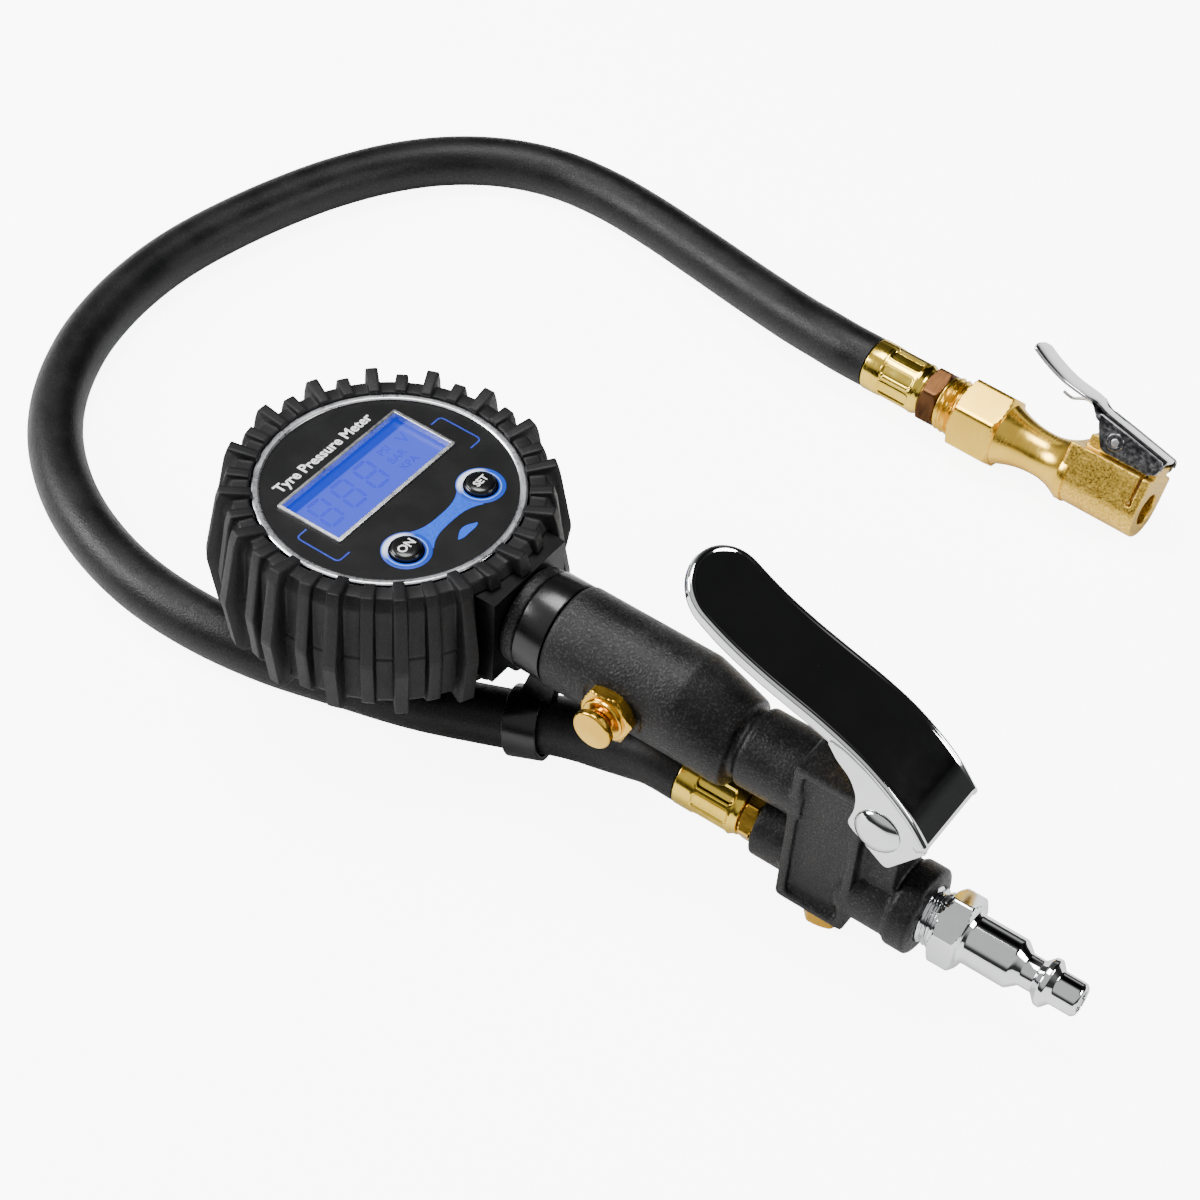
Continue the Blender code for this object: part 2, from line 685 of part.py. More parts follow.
def valve_parts(mats):
    """The stem under the lever, its spring, seal and the plug that closes the chamber."""
    spot = axis_frame((STEM_X, 0, 0), "+z")
    profile = [
        (23.6, 0),
        (23.6, 1.9),
        (24.4, 1.9),
        (24.4, 4.2),
        (27.1, 4.2),
        (27.1, 1.6),
        (31.5, 1.6),
        (31.5, 2.45),
        (44.0, 2.45),
        (44.0, 1.75),
        (45.8, 1.75),
        (45.8, 2.45),
        (66.3, 2.45),
        (67.2, 1.9),
        (67.7, 0),
    ]
    stem = turned("valve_stem", profile, spot, mats["brass"], 16)
    on_axis(stem, (STEM_X, 0, BLOCK_TOP_Z))
    seal_frame = axis_frame((STEM_X, 0, 44.9), "+z")
    seal = [(0.33 * math.cos(t), 2.12 + 0.33 * math.sin(t)) for t in np.linspace(0, 2 * math.pi, 7)[:-1]]
    ring = turned("stem_oring", seal, seal_frame, mats["seal"], 16)
    on_axis(ring, (STEM_X, 0, BLOCK_TOP_Z))
    hexagon("valve_plug", 0.0, 6.2, 10.0, spot, mats["brass"], 0.9, math.radians(12.0))
    plug = bpy.data.objects["valve_plug"]
    shank = [(5.0, 0), (5.0, 6.4), (8.0, 6.4), (8.0, 4.3), (13.5, 4.3), (13.5, 1.7), (16.0, 1.7), (16.0, 0)]
    add(plug, turned("plug_shank", shank, spot, mats["brass"], 20))
    washer = [(8.25, 4.75), (8.25, 6.3), (8.95, 6.3), (8.95, 4.75)]
    turned("plug_washer", washer, spot, mats["seal"], 16)
    wire("valve_spring", coil(3.0, 14.3, 23.6, 4.5, 8, spot), 0.4, mats["steel"], 0)


def inlet_nipple(mats):
    """The quick-connect plug: thread, hexagon, body, neck, bead and nose."""
    level = axis_frame((0, 0, PORT_Z), "+x")
    hexagon("inlet_nipple", 81.7, 88.3, 16.0, level, mats["chrome"], 0.9, math.radians(30.0))
    nipple = bpy.data.objects["inlet_nipple"]
    outer = [
        (66.4, 6.3),
        (81.0, 6.6),
        (82.5, 6.6),
        (88.0, PLUG_R),
        (99.7, PLUG_R),
        (100.3, 5.6),
        (102.2, 3.9),
        (105.3, 3.9),
        (107.0, 5.7),
        (108.3, 5.8),
        (109.9, 4.04),
        (115.1, 4.04),
        (TIP_X, 3.5),
    ]
    profile = [(66.4, 0), *outer, (TIP_X, 0)]
    add(nipple, turned("nipple_turned", profile, level, mats["chrome"], 28))
    cut(nipple, rod("nipple_bore", 60.0, 120.0, 2.6, level, mats["chrome"], 14))


def bleed_valve(mats):
    """The brass button that lets air out, its bushing and spring."""
    spot = axis_frame((BLEED_X, 0, BARREL_Z), "-y")
    hexagon("bleed_bushing", 12.2, 15.4, 12.5, spot, mats["brass"], 0.5, math.radians(8.0))
    bushing = bpy.data.objects["bleed_bushing"]
    shell = [(3.0, 0), (3.0, 3.3), (13.0, 3.3), (13.0, 5.6), (15.7, 5.6), (16.3, 5.0), (16.3, 0)]
    add(bushing, turned("bushing_shell", shell, spot, mats["brass"], 20))
    cut(
        bushing,
        rod("bushing_lip", 0.0, 6.0, 1.12, spot, mats["brass"], 16),
        rod("bushing_bore", 4.6, 13.0, 2.2, spot, mats["brass"], 16),
        rod("bushing_mouth", 11.0, 18.0, 2.7, spot, mats["brass"], 20),
    )
    head = [
        (2.0, 0),
        (2.0, 1.9),
        (2.6, 1.9),
        (2.6, 1.0),
        (13.4, 1.0),
        (13.4, 2.6),
        (18.6, 2.6),
        (18.6, 4.6),
        (18.9, 4.9),
        (20.2, 4.9),
        (20.5, 4.6),
        (20.5, 0),
    ]
    button = turned("bleed_button", head, spot, mats["brass"], 20)
    on_axis(button, (BLEED_X, 0, BARREL_Z))
    wire("bleed_spring", coil(1.6, 5.0, 13.0, 4.0, 8, spot), 0.25, mats["steel"], 0)


# ---------------------------------------------------------------- lever

# The lever's top line from its pivot end to its free end, as (x, z)
LEVER_LINE = [
    (78.3, 51.6),
    (73.2, 57.7),
    (68.0, 62.1),
    (62.0, 66.0),
    (56.0, 68.8),
    (49.0, 71.3),
    (42.0, 73.4),
    (35.0, 75.6),
    (28.0, 78.3),
    (22.0, 81.3),
    (16.5, 84.6),
    (11.4, 88.0),
]
LEVER_T = 1.4
LEVER_STATIONS = 26


def lever_half_width(part, length):
    """Half the lever's width at a part of its length, round at the free end."""
    body = 11.0 - 0.5 * min(part / 0.5, 1.0)
    left = (1.0 - part) * length
    nose = 10.0
    if left < nose:
        body *= max(math.sqrt(1.0 - (1.0 - left / nose) ** 2), 0.16)
    return body


def lever_section(centre, tangent, half, drop):
    """One U-shaped section, square to the lever's line."""
    up = Vector((-tangent[2], 0.0, tangent[0]))
    if up.z < 0:
        up = -up
    inner = max(half - LEVER_T, 0.25 * half)
    round_ = min(0.7, 0.3 * half)
    shape = [
        (-half, -drop),
        (-half, -round_),
        (-half + round_, 0.0),
        (half - round_, 0.0),
        (half, -round_),
        (half, -drop),
        (inner, -drop),
        (inner, -LEVER_T),
        (-inner, -LEVER_T),
        (-inner, -drop),
    ]
    return [centre + Vector((0, c, 0)) + up * u for c, u in shape]


def lever_path():
    """Even points on the lever's line, with their directions and distances."""
    line = [(x, 0.0, z) for x, z in LEVER_LINE]
    pts = smooth_path(line, LEVER_STATIONS)
    tangents = np.gradient(pts, axis=0)
    tangents /= np.linalg.norm(tangents, axis=1)[:, None]
    run = np.concatenate([[0.0], np.cumsum(np.linalg.norm(np.diff(pts, axis=0), axis=1))])
    return pts, tangents, run


def trigger_lever(mats):
    """The stamped lever: a shallow channel with two ears round the rivet."""
    pts, tangents, run = lever_path()
    length = run[-1]
    spots = [1.0 - (1.0 - t) ** 1.6 for t in np.linspace(0.0, 1.0, LEVER_STATIONS)]
    rings = []
    for part in spots:
        at = part * length
        centre = Vector([np.interp(at, run, pts[:, k]) for k in range(3)])
        tangent = Vector([np.interp(at, run, tangents[:, k]) for k in range(3)]).normalized()
        half = lever_half_width(part, length)
        drop = 2.9 if part < 0.8 else 2.9 - 0.9 * (part - 0.8) / 0.2
        rings.append(lever_section(centre, tangent, half, drop))
    lever = lofted("trigger_lever", rings, mats["chrome"])
    ear_line = [(x, z - 1.2) for x, z in LEVER_LINE if x > 50.0]
    outline = [
        *ear_line,
        (51.5, 68.0),
        (54.6, 63.9),
        (58.3, 60.9),
        (60.4, 56.8),
        (60.7, 52.5),
        (59.5, 47.1),
        (70.2, 39.8),
        (78.0, 50.4),
    ]
    for side in (-1, 1):
        near, far = sorted((side * 9.8, side * 11.0))
        frame = axis_frame((0, 0, 0), "+x")
        add(lever, prism(f"lever_ear_{side}", outline, near, far, frame, mats["chrome"]))
    cut(lever, rod("lever_hole", -12.0, 12.0, 2.1, axis_frame(PIVOT, "+y"), mats["chrome"], 24))
    on_axis(lever, PIVOT)
    rivet = [
        (-13.4, 0),
        (-13.2, 2.6),
        (-12.5, 4.4),
        (-11.3, 5.6),
        (-11.3, 2.0),
        (11.3, 2.0),
        (11.3, 5.6),
        (12.5, 4.4),
        (13.2, 2.6),
        (13.4, 0),
    ]
    turned("lever_rivet", rivet, axis_frame(PIVOT, "+y"), mats["chrome"], 24)


# ---------------------------------------------------------------- hose and what holds it


def hose_clip(mats):
    """The figure-8 strap: a ring round the barrel, a ring round the hose and a web between them."""
    along = axis_frame((0, 0, BARREL_Z), "+x")
    band = [(BAND_X + 0.3, 11.2), (BAND_X + 0.3, 12.3), (BARREL_X - 0.4, 12.3), (BARREL_X - 0.4, 11.2)]
    clip = turned("hose_clip", band, along, mats["plastic"], 36)
    path = np.array(HOSE_ROUTE)
    centre = Vector(path[6])
    direction = Vector(path[7] - path[5]).normalized()
    across = direction.cross(Vector((0, 0, 1))).normalized()
    frame = (centre, direction, across, across.cross(direction).normalized())
    solid = [(-4.3, 0), (-4.3, 8.75), (4.3, 8.75), (4.3, 0)]
    web_rings = [
        [(-24.0, y, 17.0) for y in (-4.2, -1.2)] + [(-32.2, y, 17.0) for y in (-1.2, -4.2)],
        [(-21.4, y, 30.4) for y in (-1.6, 1.6)] + [(-27.8, y, 30.4) for y in (1.6, -1.6)],
    ]
    add(clip, lofted("clip_web", web_rings, mats["plastic"]))
    add(clip, turned("clip_ring", solid, frame, mats["plastic"], 32))
    cut(clip, rod("clip_hole", -9.0, 9.0, HOSE_R + 0.55, frame, mats["plastic"], 32))
    cut(clip, rod("band_hole", BAND_X - 3.0, BARREL_X + 3.0, 11.2, along, mats["plastic"], 36))


def hose_end_parts(mats):
    """The brass fitting in the boss and the crimped ferrule on the hose."""
    level = axis_frame((0, 0, PORT_Z), "+x")
    hexagon("hose_fitting", 31.4, 35.3, 12.4, level, mats["brass"], 0.5)
    fitting = bpy.data.objects["hose_fitting"]
    barb = [(16.0, 0), (16.0, 4.3), (20.0, 4.9), (31.8, 4.9), (31.8, 6.0), (34.8, 6.0), (34.8, 4.4), (42.0, 4.4), (42.0, 0)]
    add(fitting, turned("fitting_barb", barb, level, mats["brass"], 24))
    cut(fitting, rod("fitting_bore", 10.0, 45.0, 2.2, level, mats["brass"], 16))
    turned("gun_ferrule", ferrule_profile(14.3, 31.1), level, mats["gold"], 28)


def ferrule_profile(start, end):
    """A crimped sleeve with a rolled lip where the hose goes in."""
    return [
        (start, 5.2),
        (start, FERRULE_R - 0.3),
        (start + 0.5, FERRULE_R),
        (start + 4.0, FERRULE_R),
        (start + 5.0, FERRULE_R - 0.25),
        (end - 1.6, FERRULE_R - 0.25),
        (end - 0.5, FERRULE_R - 0.7),
        (end, 6.0),
        (end, 5.2),
    ]


def hose(mats):
    """The free hose, on a smooth curve through its route."""
    points = smooth_path(HOSE_ROUTE, HOSE_POINTS)
    return wire("hose", points, HOSE_R, mats["rubber"], 3)


# ---------------------------------------------------------------- chuck


def chuck_frame():
    """Along the chuck, across it, and up towards its clip."""
    along = Vector((math.cos(CHUCK_TURN), math.sin(CHUCK_TURN), 0.0))
    side = Vector((-math.sin(CHUCK_TURN), math.cos(CHUCK_TURN), 0.0))
    up = side * math.sin(CHUCK_ROLL) + Vector((0, 0, math.cos(CHUCK_ROLL)))
    across = up.cross(along)
    return Vector(CHUCK_START), along, across, up


def chuck_parts(mats):
    """The ferrule, the threaded fitting, the body with its mouth, and the seal and pin inside."""
    frame = chuck_frame()
    turned("chuck_ferrule", ferrule_profile(-42.4, -24.6), frame, mats["gold"], 28)
    hexagon("chuck_fitting", -24.3, -18.9, 14.9, frame, mats["brass"], 0.8, CHUCK_HEX_TURN)
    fitting = bpy.data.objects["chuck_fitting"]
    barb = [(-40.5, 0), (-40.5, 4.3), (-36.5, 4.9), (-24.0, 4.9), (-24.0, 6.0), (-19.2, 6.0), (-18.8, 7.9), (-4.5, 7.9), (-4.5, 0)]
    add(fitting, turned("chuck_barb", barb, frame, mats["brass"], 24))
    cut(fitting, rod("chuck_fitting_bore", -45.0, 0.0, 2.2, frame, mats["brass"], 16))
    chuck_body(mats, frame)
    seal = [(28.3, 1.9), (28.3, 3.95), (31.0, 3.95), (31.0, 1.9)]
    turned("chuck_seal", seal, frame, mats["seal"], 24)
    pin = [(22.0, 0), (22.0, 1.6), (28.6, 1.6), (28.6, 1.1), (35.0, 1.1), (35.6, 0.6), (35.6, 0)]
    turned("chuck_depressor", pin, frame, mats["brass"], 16)


def waist_radius(at):
    """The chuck body's radius between its hexagon and its head."""
    low, narrow = 12.0, 6.1
    if at < low:
        return narrow + 3.4 * ((low - at) / low) ** 2.2
    return narrow + 2.2 * ((at - low) / 7.6) ** 2.0


def head_section(at, part, frame):
    """The head's U shape: half round below, straight sides and a flat top."""
    below = arc((0.0, 0.0), HEAD_HALF, 180.0, 360.0, 17)
    shape = [*below, (HEAD_HALF, HEAD_TOP), (-HEAD_HALF, HEAD_TOP)]
    return [place((at, c * part, u * part), frame) for c, u in shape]


def chuck_body(mats, frame):
    """Hexagon, waist and head; the head has a tongue for the clip and a cross slit."""
    hexagon("chuck_body", -13.2, 0.0, 19.0, frame, mats["brass"], 1.0, CHUCK_HEX_TURN)
    body = bpy.data.objects["chuck_body"]
    waist = [(at, waist_radius(at)) for at in np.linspace(-0.5, 19.6, 9)]
    shape = [(-0.5, 0), *waist, (22.0, waist[-1][1]), (22.0, 0)]
    add(body, turned("chuck_turned", shape, frame, mats["brass"], 30))
    ends = ((19.7, 0.93), (20.4, 1.0), (42.7, 1.0), (43.3, 0.94))
    head = [head_section(at, part, frame) for at, part in ends]
    add(body, lofted("chuck_head", head, mats["brass"]))
    pivot_pad = arc(CHUCK_PIVOT, 2.4, 150.0, 20.0, 7)
    tongue = [(22.6, 6.0), (22.6, 12.0), (27.0, 12.6), *pivot_pad, (33.0, 12.3), (43.0, 12.0), (43.0, 6.0)]
    add(body, prism("head_tongue", tongue, -4.3, 4.3, frame, mats["brass"]))
    cut(
        body,
        rod("chuck_thread_bore", -14.0, -4.0, 8.2, frame, mats["brass"], 24),
        rod("chuck_passage", -5.0, 30.0, 2.3, frame, mats["brass"], 16),
        rod("chuck_mouth", 28.0, 44.0, 4.3, frame, mats["brass"], 26),
    )
    tooth_slot = [(37.4, 2.0), (42.1, 2.0), (42.1, 15.0), (37.4, 15.0)]
    slit = [(40.3, 2.6), (41.1, 2.6), (41.1, 9.5), (40.3, 9.5)]
    cut(
        body,
        prism("tooth_slot", tooth_slot, -2.6, 2.6, frame, mats["brass"]),
        prism("head_slit", slit, -12.0, 12.0, frame, mats["brass"]),
        rod("clip_pin_hole", -6.0, 6.0, 1.15, pin_frame(frame), mats["brass"], 16),
    )


def pin_frame(frame):
    """A frame whose along runs across the chuck, through the clip's pin."""
    origin, along, across, up = frame
    centre = place((CHUCK_PIVOT[0], 0, CHUCK_PIVOT[1]), frame)
    return centre, across, along, up


# The clip's top line, from its thumb end to its mouth end, as (along, up)
CLIP_LINE = [(-2.0, 26.4), (4.0, 23.6), (10.0, 21.6), (16.0, 20.6), (19.6, 19.9), (22.4, 18.6), (30.0, 17.0), (44.0, 14.2)]
CLIP_T = 1.0


def chuck_clip(mats):
    """The spring clip: thumb plate, ears beside the tongue, and the tooth that holds the tyre valve."""
    frame = chuck_frame()
    under = [(a - 0.2, u - CLIP_T) for a, u in reversed(CLIP_LINE)]
    plate = prism("chuck_lever", [*CLIP_LINE, *under], -5.7, 5.7, frame, mats["chrome"])
    ear = [
        (22.6, 17.6),
        (24.6, 13.6),
        (26.6, 9.9),
        (27.6, 9.3),
        (41.6, 9.2),
        (43.2, 10.3),
        (43.6, 13.6),
        (30.0, 16.3),
    ]
    for side in (-1, 1):
        near, far = sorted((side * 4.7, side * 5.7))
        add(plate, prism(f"clip_ear_{side}", ear, near, far, frame, mats["chrome"]))
    tooth = [(38.2, 14.8), (38.2, 5.2), (38.5, 4.1), (39.3, 4.1), (39.3, 14.6)]
    add(plate, prism("clip_tooth", tooth, -2.0, 2.0, frame, mats["chrome"]))
    cut(plate, rod("clip_hole_across", -7.0, 7.0, 1.15, pin_frame(frame), mats["chrome"], 16))
    centre = place((CHUCK_PIVOT[0], 0, CHUCK_PIVOT[1]), frame)
    on_axis(plate, centre)
    rod("chuck_lever_pin", -6.2, 6.2, 1.05, pin_frame(frame), mats["steel"], 16)
    leg = [(20.0, 17.6), (16.0, 18.4), (12.5, 17.2), (9.5, 17.4)]
    wire("chuck_spring", [place((a, 0.0, u), frame) for a, u in leg], 0.45, mats["steel"], 1)


def main():
    """Make every piece."""
    clear_scene()
    mats = make_materials()
    gauge_boot(mats)
    gauge_housing(mats)
    battery_door(mats)
    face_parts(mats)
    face_buttons(mats)
    gauge_inside(mats)
    gun_body(mats)
    valve_parts(mats)
    inlet_nipple(mats)
    bleed_valve(mats)
    trigger_lever(mats)
    hose_clip(mats)
    hose_end_parts(mats)
    hose(mats)
    chuck_parts(mats)
    chuck_clip(mats)


main()
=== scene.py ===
# %% [markdown]
# # A tyre inflator with a digital gauge
# A round gauge in a ribbed rubber boot sits on the end of a cast gun. A squeeze lever opens the gun's valve,
# a plug takes the air line, and a short hose leads to a chuck that clips on a tyre valve.
# The CAD model gives every place and size. This lesson dresses it: shapes that the CAD keeps plain are made
# again as fine numpy surfaces, and every surface gets a finish made of nodes.

# %% Load the frame
import json
import math

import bmesh
import bpy
import numpy as np
from mathutils import Matrix, Vector


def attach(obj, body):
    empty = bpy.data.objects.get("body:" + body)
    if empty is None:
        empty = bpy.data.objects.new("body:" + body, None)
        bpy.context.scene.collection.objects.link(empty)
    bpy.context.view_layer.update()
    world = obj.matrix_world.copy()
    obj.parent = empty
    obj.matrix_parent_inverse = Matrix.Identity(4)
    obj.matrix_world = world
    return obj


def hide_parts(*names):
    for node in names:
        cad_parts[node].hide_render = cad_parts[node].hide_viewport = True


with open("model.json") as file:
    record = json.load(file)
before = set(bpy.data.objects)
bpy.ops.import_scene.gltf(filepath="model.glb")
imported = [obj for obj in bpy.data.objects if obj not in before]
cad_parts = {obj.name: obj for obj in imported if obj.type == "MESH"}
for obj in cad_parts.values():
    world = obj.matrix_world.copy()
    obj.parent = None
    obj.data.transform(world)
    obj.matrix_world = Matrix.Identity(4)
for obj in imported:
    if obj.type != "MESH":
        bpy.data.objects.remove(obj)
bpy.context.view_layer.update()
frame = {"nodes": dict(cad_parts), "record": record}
nodes = frame["nodes"]
MM = 0.001

# %% [markdown]
# The camera comes first, because it decides which shapes matter most. It looks down at 46 degrees from the
# side of the air plug, and leans by a few degrees, so that the gun runs from corner to corner.

# %% Camera
VIEW_PLACE = (197.602, -326.378, 461.917)
VIEW_AIM = (-28.14, 22.90, 30.0)
VIEW_ROLL = math.radians(4.21)
VIEW_LENS = 76.174


def add_camera():
    """A camera at VIEW_PLACE that looks at VIEW_AIM, turned about its own axis by VIEW_ROLL."""
    data = bpy.data.cameras.new("camera")
    data.lens = VIEW_LENS
    data.sensor_width = 36.0
    camera = bpy.data.objects.new("camera", data)
    bpy.context.collection.objects.link(camera)
    place = Vector(VIEW_PLACE) * MM
    look = Vector(VIEW_AIM) * MM - place
    turn = look.to_track_quat("-Z", "Y").to_matrix() @ Matrix.Rotation(VIEW_ROLL, 3, "Z")
    camera.matrix_world = Matrix.Translation(place) @ turn.to_4x4()
    bpy.context.scene.camera = camera
    return camera


print("camera", add_camera().matrix_world.translation)

# %% [markdown]
# Every new piece is a grid of points. Rows run along the piece and columns go round it, so its faces are the
# same arithmetic each time. Points that fall together, as at the tip of a dome, are merged afterwards.


# %% From a grid of points to a mesh
def grid_faces(rows, columns, wrap_rows, wrap_columns):
    """Corner numbers of each square: (i, j), (i+1, j), (i+1, j+1), (i, j+1), with i and j taken round."""
    i = np.arange(rows if wrap_rows else rows - 1)[:, None]
    j = np.arange(columns if wrap_columns else columns - 1)[None, :]
    i2, j2 = (i + 1) % rows, (j + 1) % columns
    corners = (i * columns + j, i2 * columns + j, i2 * columns + j2, i * columns + j2)
    return np.stack(np.broadcast_arrays(*corners), -1).reshape(-1, 4)


def link_mesh(name, points, faces, sharp=35.0):
    """An object from points in millimetres and lists of corner numbers, closed and facing outwards."""
    mesh = bpy.data.meshes.new(name)
    mesh.from_pydata((np.asarray(points).reshape(-1, 3) * MM).tolist(), [], faces)
    work = bmesh.new()
    work.from_mesh(mesh)
    bmesh.ops.remove_doubles(work, verts=work.verts, dist=1e-7)
    bmesh.ops.recalc_face_normals(work, faces=work.faces)
    work.to_mesh(mesh)
    work.free()
    mesh.shade_smooth()
    mesh.set_sharp_from_angle(angle=math.radians(sharp))
    piece = bpy.data.objects.new(name, mesh)
    bpy.context.collection.objects.link(piece)
    return piece


def surface(name, points, wrap_rows=False, wrap_columns=True, sharp=35.0):
    """A mesh over a grid of points of shape (rows, columns, 3)."""
    rows, columns = points.shape[:2]
    return link_mesh(name, points, grid_faces(rows, columns, wrap_rows, wrap_columns).tolist(), sharp)


def joined(name, parts):
    """One object from several, which keep their own closed shells."""
    work = bmesh.new()
    for part in parts:
        work.from_mesh(part.data)
    mesh = bpy.data.meshes.new(name)
    work.to_mesh(mesh)
    work.free()
    for part in parts:
        bpy.data.objects.remove(part)
    piece = bpy.data.objects.new(name, mesh)
    bpy.context.collection.objects.link(piece)
    return piece


# %% [markdown]
# Most pieces of an air tool are turned on a lathe. A frame gives the lathe's axis, a profile gives the cut,
# and real cut edges are never quite sharp, so each corner of a profile gets a small curve.


# %% Lathe work
def frame_at(origin, along, across):
    """An origin and three directions at right angles, as arrays."""
    along, across = np.array(along, float), np.array(across, float)
    return np.array(origin, float), along, across, np.cross(along, across)


def directions(path):
    """The unit tangents of a path."""
    tangent = np.gradient(path, axis=0)
    return tangent / np.linalg.norm(tangent, axis=1, keepdims=True)


def eased(share):
    """share^2 (3 - 2 share), with share held between 0 and 1: a step with no corner at either end."""
    share = np.clip(share, 0, 1)
    return share**2 * (3 - 2 * share)


def placed(where, along, across, up):
    """origin + along * a + across * c + up * u, for whole arrays."""
    origin, *axes = where
    parts = [np.asarray(v)[..., None] * axis for v, axis in zip((along, across, up), axes)]
    return origin + sum(parts)


def softened(profile, size=0.3, steps=4, closed=False):
    """Each corner c becomes the curve (1-t)^2 a + 2 t (1-t) c + t^2 b, where a and b lie size from c."""
    points = np.asarray(profile, float)
    sides = []
    for other in (np.roll(points, 1, 0), np.roll(points, -1, 0)):
        step = other - points
        length = np.linalg.norm(step, axis=1, keepdims=True) + 1e-9
        sides.append(points + step / length * np.minimum(size, 0.45 * length))
    t = np.linspace(0.0, 1.0, steps)[:, None, None]
    curves = (1 - t) ** 2 * sides[0] + 2 * t * (1 - t) * points + t**2 * sides[1]
    curves = curves.transpose(1, 0, 2)
    numbers = points.shape[1]
    if closed:
        return curves.reshape(-1, numbers)
    return np.concatenate([points[:1], curves[1:-1].reshape(-1, numbers), points[-1:]])


def spun(name, along, radius, where, start=0.0, closed=False, sharp=35.0):
    """(along, radius cos turn, radius sin turn), where radius has a row a station and a column a turn."""
    radius = np.asarray(radius)
    turn = start + np.linspace(0.0, 2 * np.pi, radius.shape[1], endpoint=False)
    stations = np.broadcast_to(np.asarray(along)[:, None], radius.shape)
    points = placed(where, stations, radius * np.cos(turn), radius * np.sin(turn))
    return surface(name, points, wrap_rows=closed, sharp=sharp)


def turned(name, profile, where, columns=96, soft=0.25, closed=False, sharp=35.0):
    """A profile of (along, radius) points, with softened corners, turned about the frame's axis."""
    line = softened(profile, soft, closed=closed)
    return spun(name, line[:, 0], np.repeat(line[:, 1:], columns, 1), where, closed=closed, sharp=sharp)


def oblong(left, right, low, high):
    """The four corners of a rectangle; as a lathe profile from radius low to high, a plain ring."""
    return [(left, low), (right, low), (right, high), (left, high)]


def disc(start, end, radius):
    """The lathe profile of a plain disc."""
    return [(start, 0.0), (start, radius), (end, radius), (end, 0.0)]


# %% [markdown]
# A few places drive all the others: the heights of the hose's port, of the barrel and of its rear end, and
# the gauge's middle. The chuck gets a frame of its own, because it lies a little askew and rolled.

# %% Driving places
PORT_Z, BARREL_Z, REAR_Z, GAUGE_X, FACE_Z = 19.1, 42.1, 40.5, -72.9, 57.2
WORLD = frame_at((0, 0, 0), (1, 0, 0), (0, 1, 0))
PORT = frame_at((0, 0, PORT_Z), (1, 0, 0), (0, 1, 0))
BARREL = frame_at((0, 0, BARREL_Z), (1, 0, 0), (0, 1, 0))
BLEED = frame_at((-0.1, 0, BARREL_Z), (0, -1, 0), (1, 0, 0))
FACE = frame_at((GAUGE_X, 0, FACE_Z), (0, 0, 1), (1, 0, 0))
CHUCK_START, CHUCK_TURN, CHUCK_ROLL = (10.6, 155.4, 11.2), math.radians(-3.1), math.radians(30.0)


def chuck_frame():
    """Along the chuck, across it, and up towards its clip."""
    along = np.array([math.cos(CHUCK_TURN), math.sin(CHUCK_TURN), 0.0])
    side = np.array([-math.sin(CHUCK_TURN), math.cos(CHUCK_TURN), 0.0])
    up = side * math.sin(CHUCK_ROLL) + np.array([0.0, 0.0, math.cos(CHUCK_ROLL)])
    return np.array(CHUCK_START), along, np.cross(up, along), up


CHUCK = chuck_frame()
print("chuck points along", CHUCK[1].round(3))

# %% [markdown]
# A hexagon nut is a hexagon cut by a cone at both ends, which gives the curved chamfers every nut has.
# A thread is a ridge whose height depends on the distance along plus the turn.


# %% Nuts and threads
def hexagon_radius(turn, flats, corner_turn):
    """Half the flats over the cosine of the turn from the nearest flat's middle; corners a little worn."""
    local = np.mod(turn - corner_turn, np.pi / 3) - np.pi / 6
    return np.minimum(flats / 2 / np.cos(local), 0.988 * flats / math.sqrt(3.0))


def nut(name, start, end, flats, where, corner_turn=0.0, ends=(True, True), columns=144):
    """The smaller of the hexagon's radius and a cone that grows from each chamfered end."""
    steps = np.array([0.0, 0.0, 0.12, 0.25, 0.45, 0.7, 1.0, 1.5])
    along = np.concatenate([start + steps, (end - steps)[::-1]])
    turn = corner_turn + np.linspace(0.0, 2 * np.pi, columns, endpoint=False)
    depth = np.full(len(along), 9.0)
    for chamfered, edge in zip(ends, (start, end)):
        if chamfered:
            depth = np.minimum(depth, np.abs(along - edge))
    cone = 0.475 * flats + 1.75 * depth
    radius = np.minimum(hexagon_radius(turn, flats, corner_turn)[None, :], cone[:, None])
    radius[0] = radius[-1] = 0.0
    return spun(name, along, radius, where, corner_turn, sharp=22.0)


def thread(name, start, end, outer, depth, pitch, where, columns=60):
    """outer - depth * |2 frac(along / pitch - turn / 2 pi) - 1|, run out to nothing at both ends."""
    rows = int((end - start) / pitch * 10) + 1
    along = np.linspace(start, end, rows)
    turn = np.linspace(0.0, 1.0, columns, endpoint=False)
    phase = np.mod(along[:, None] / pitch - turn[None, :], 1.0)
    ridge = np.abs(2 * phase - 1)
    fade = np.clip(np.minimum(along - start, end - along) / (0.8 * pitch), 0.0, 1.0)[:, None]
    radius = outer - depth * (1 - fade * (1 - ridge))
    radius = np.concatenate([np.zeros((1, columns)), radius, np.zeros((1, columns))])
    along = np.concatenate([[start], along, [end]])
    return spun(name, along, radius, where, sharp=60.0)


# %% [markdown]
# The hose is the one free cord. Its whole length shows, so the length is the length of its route, which
# the CAD model also follows. It is a tube of 14.4 mm that leaves the gun's ferrule and ends in the chuck.

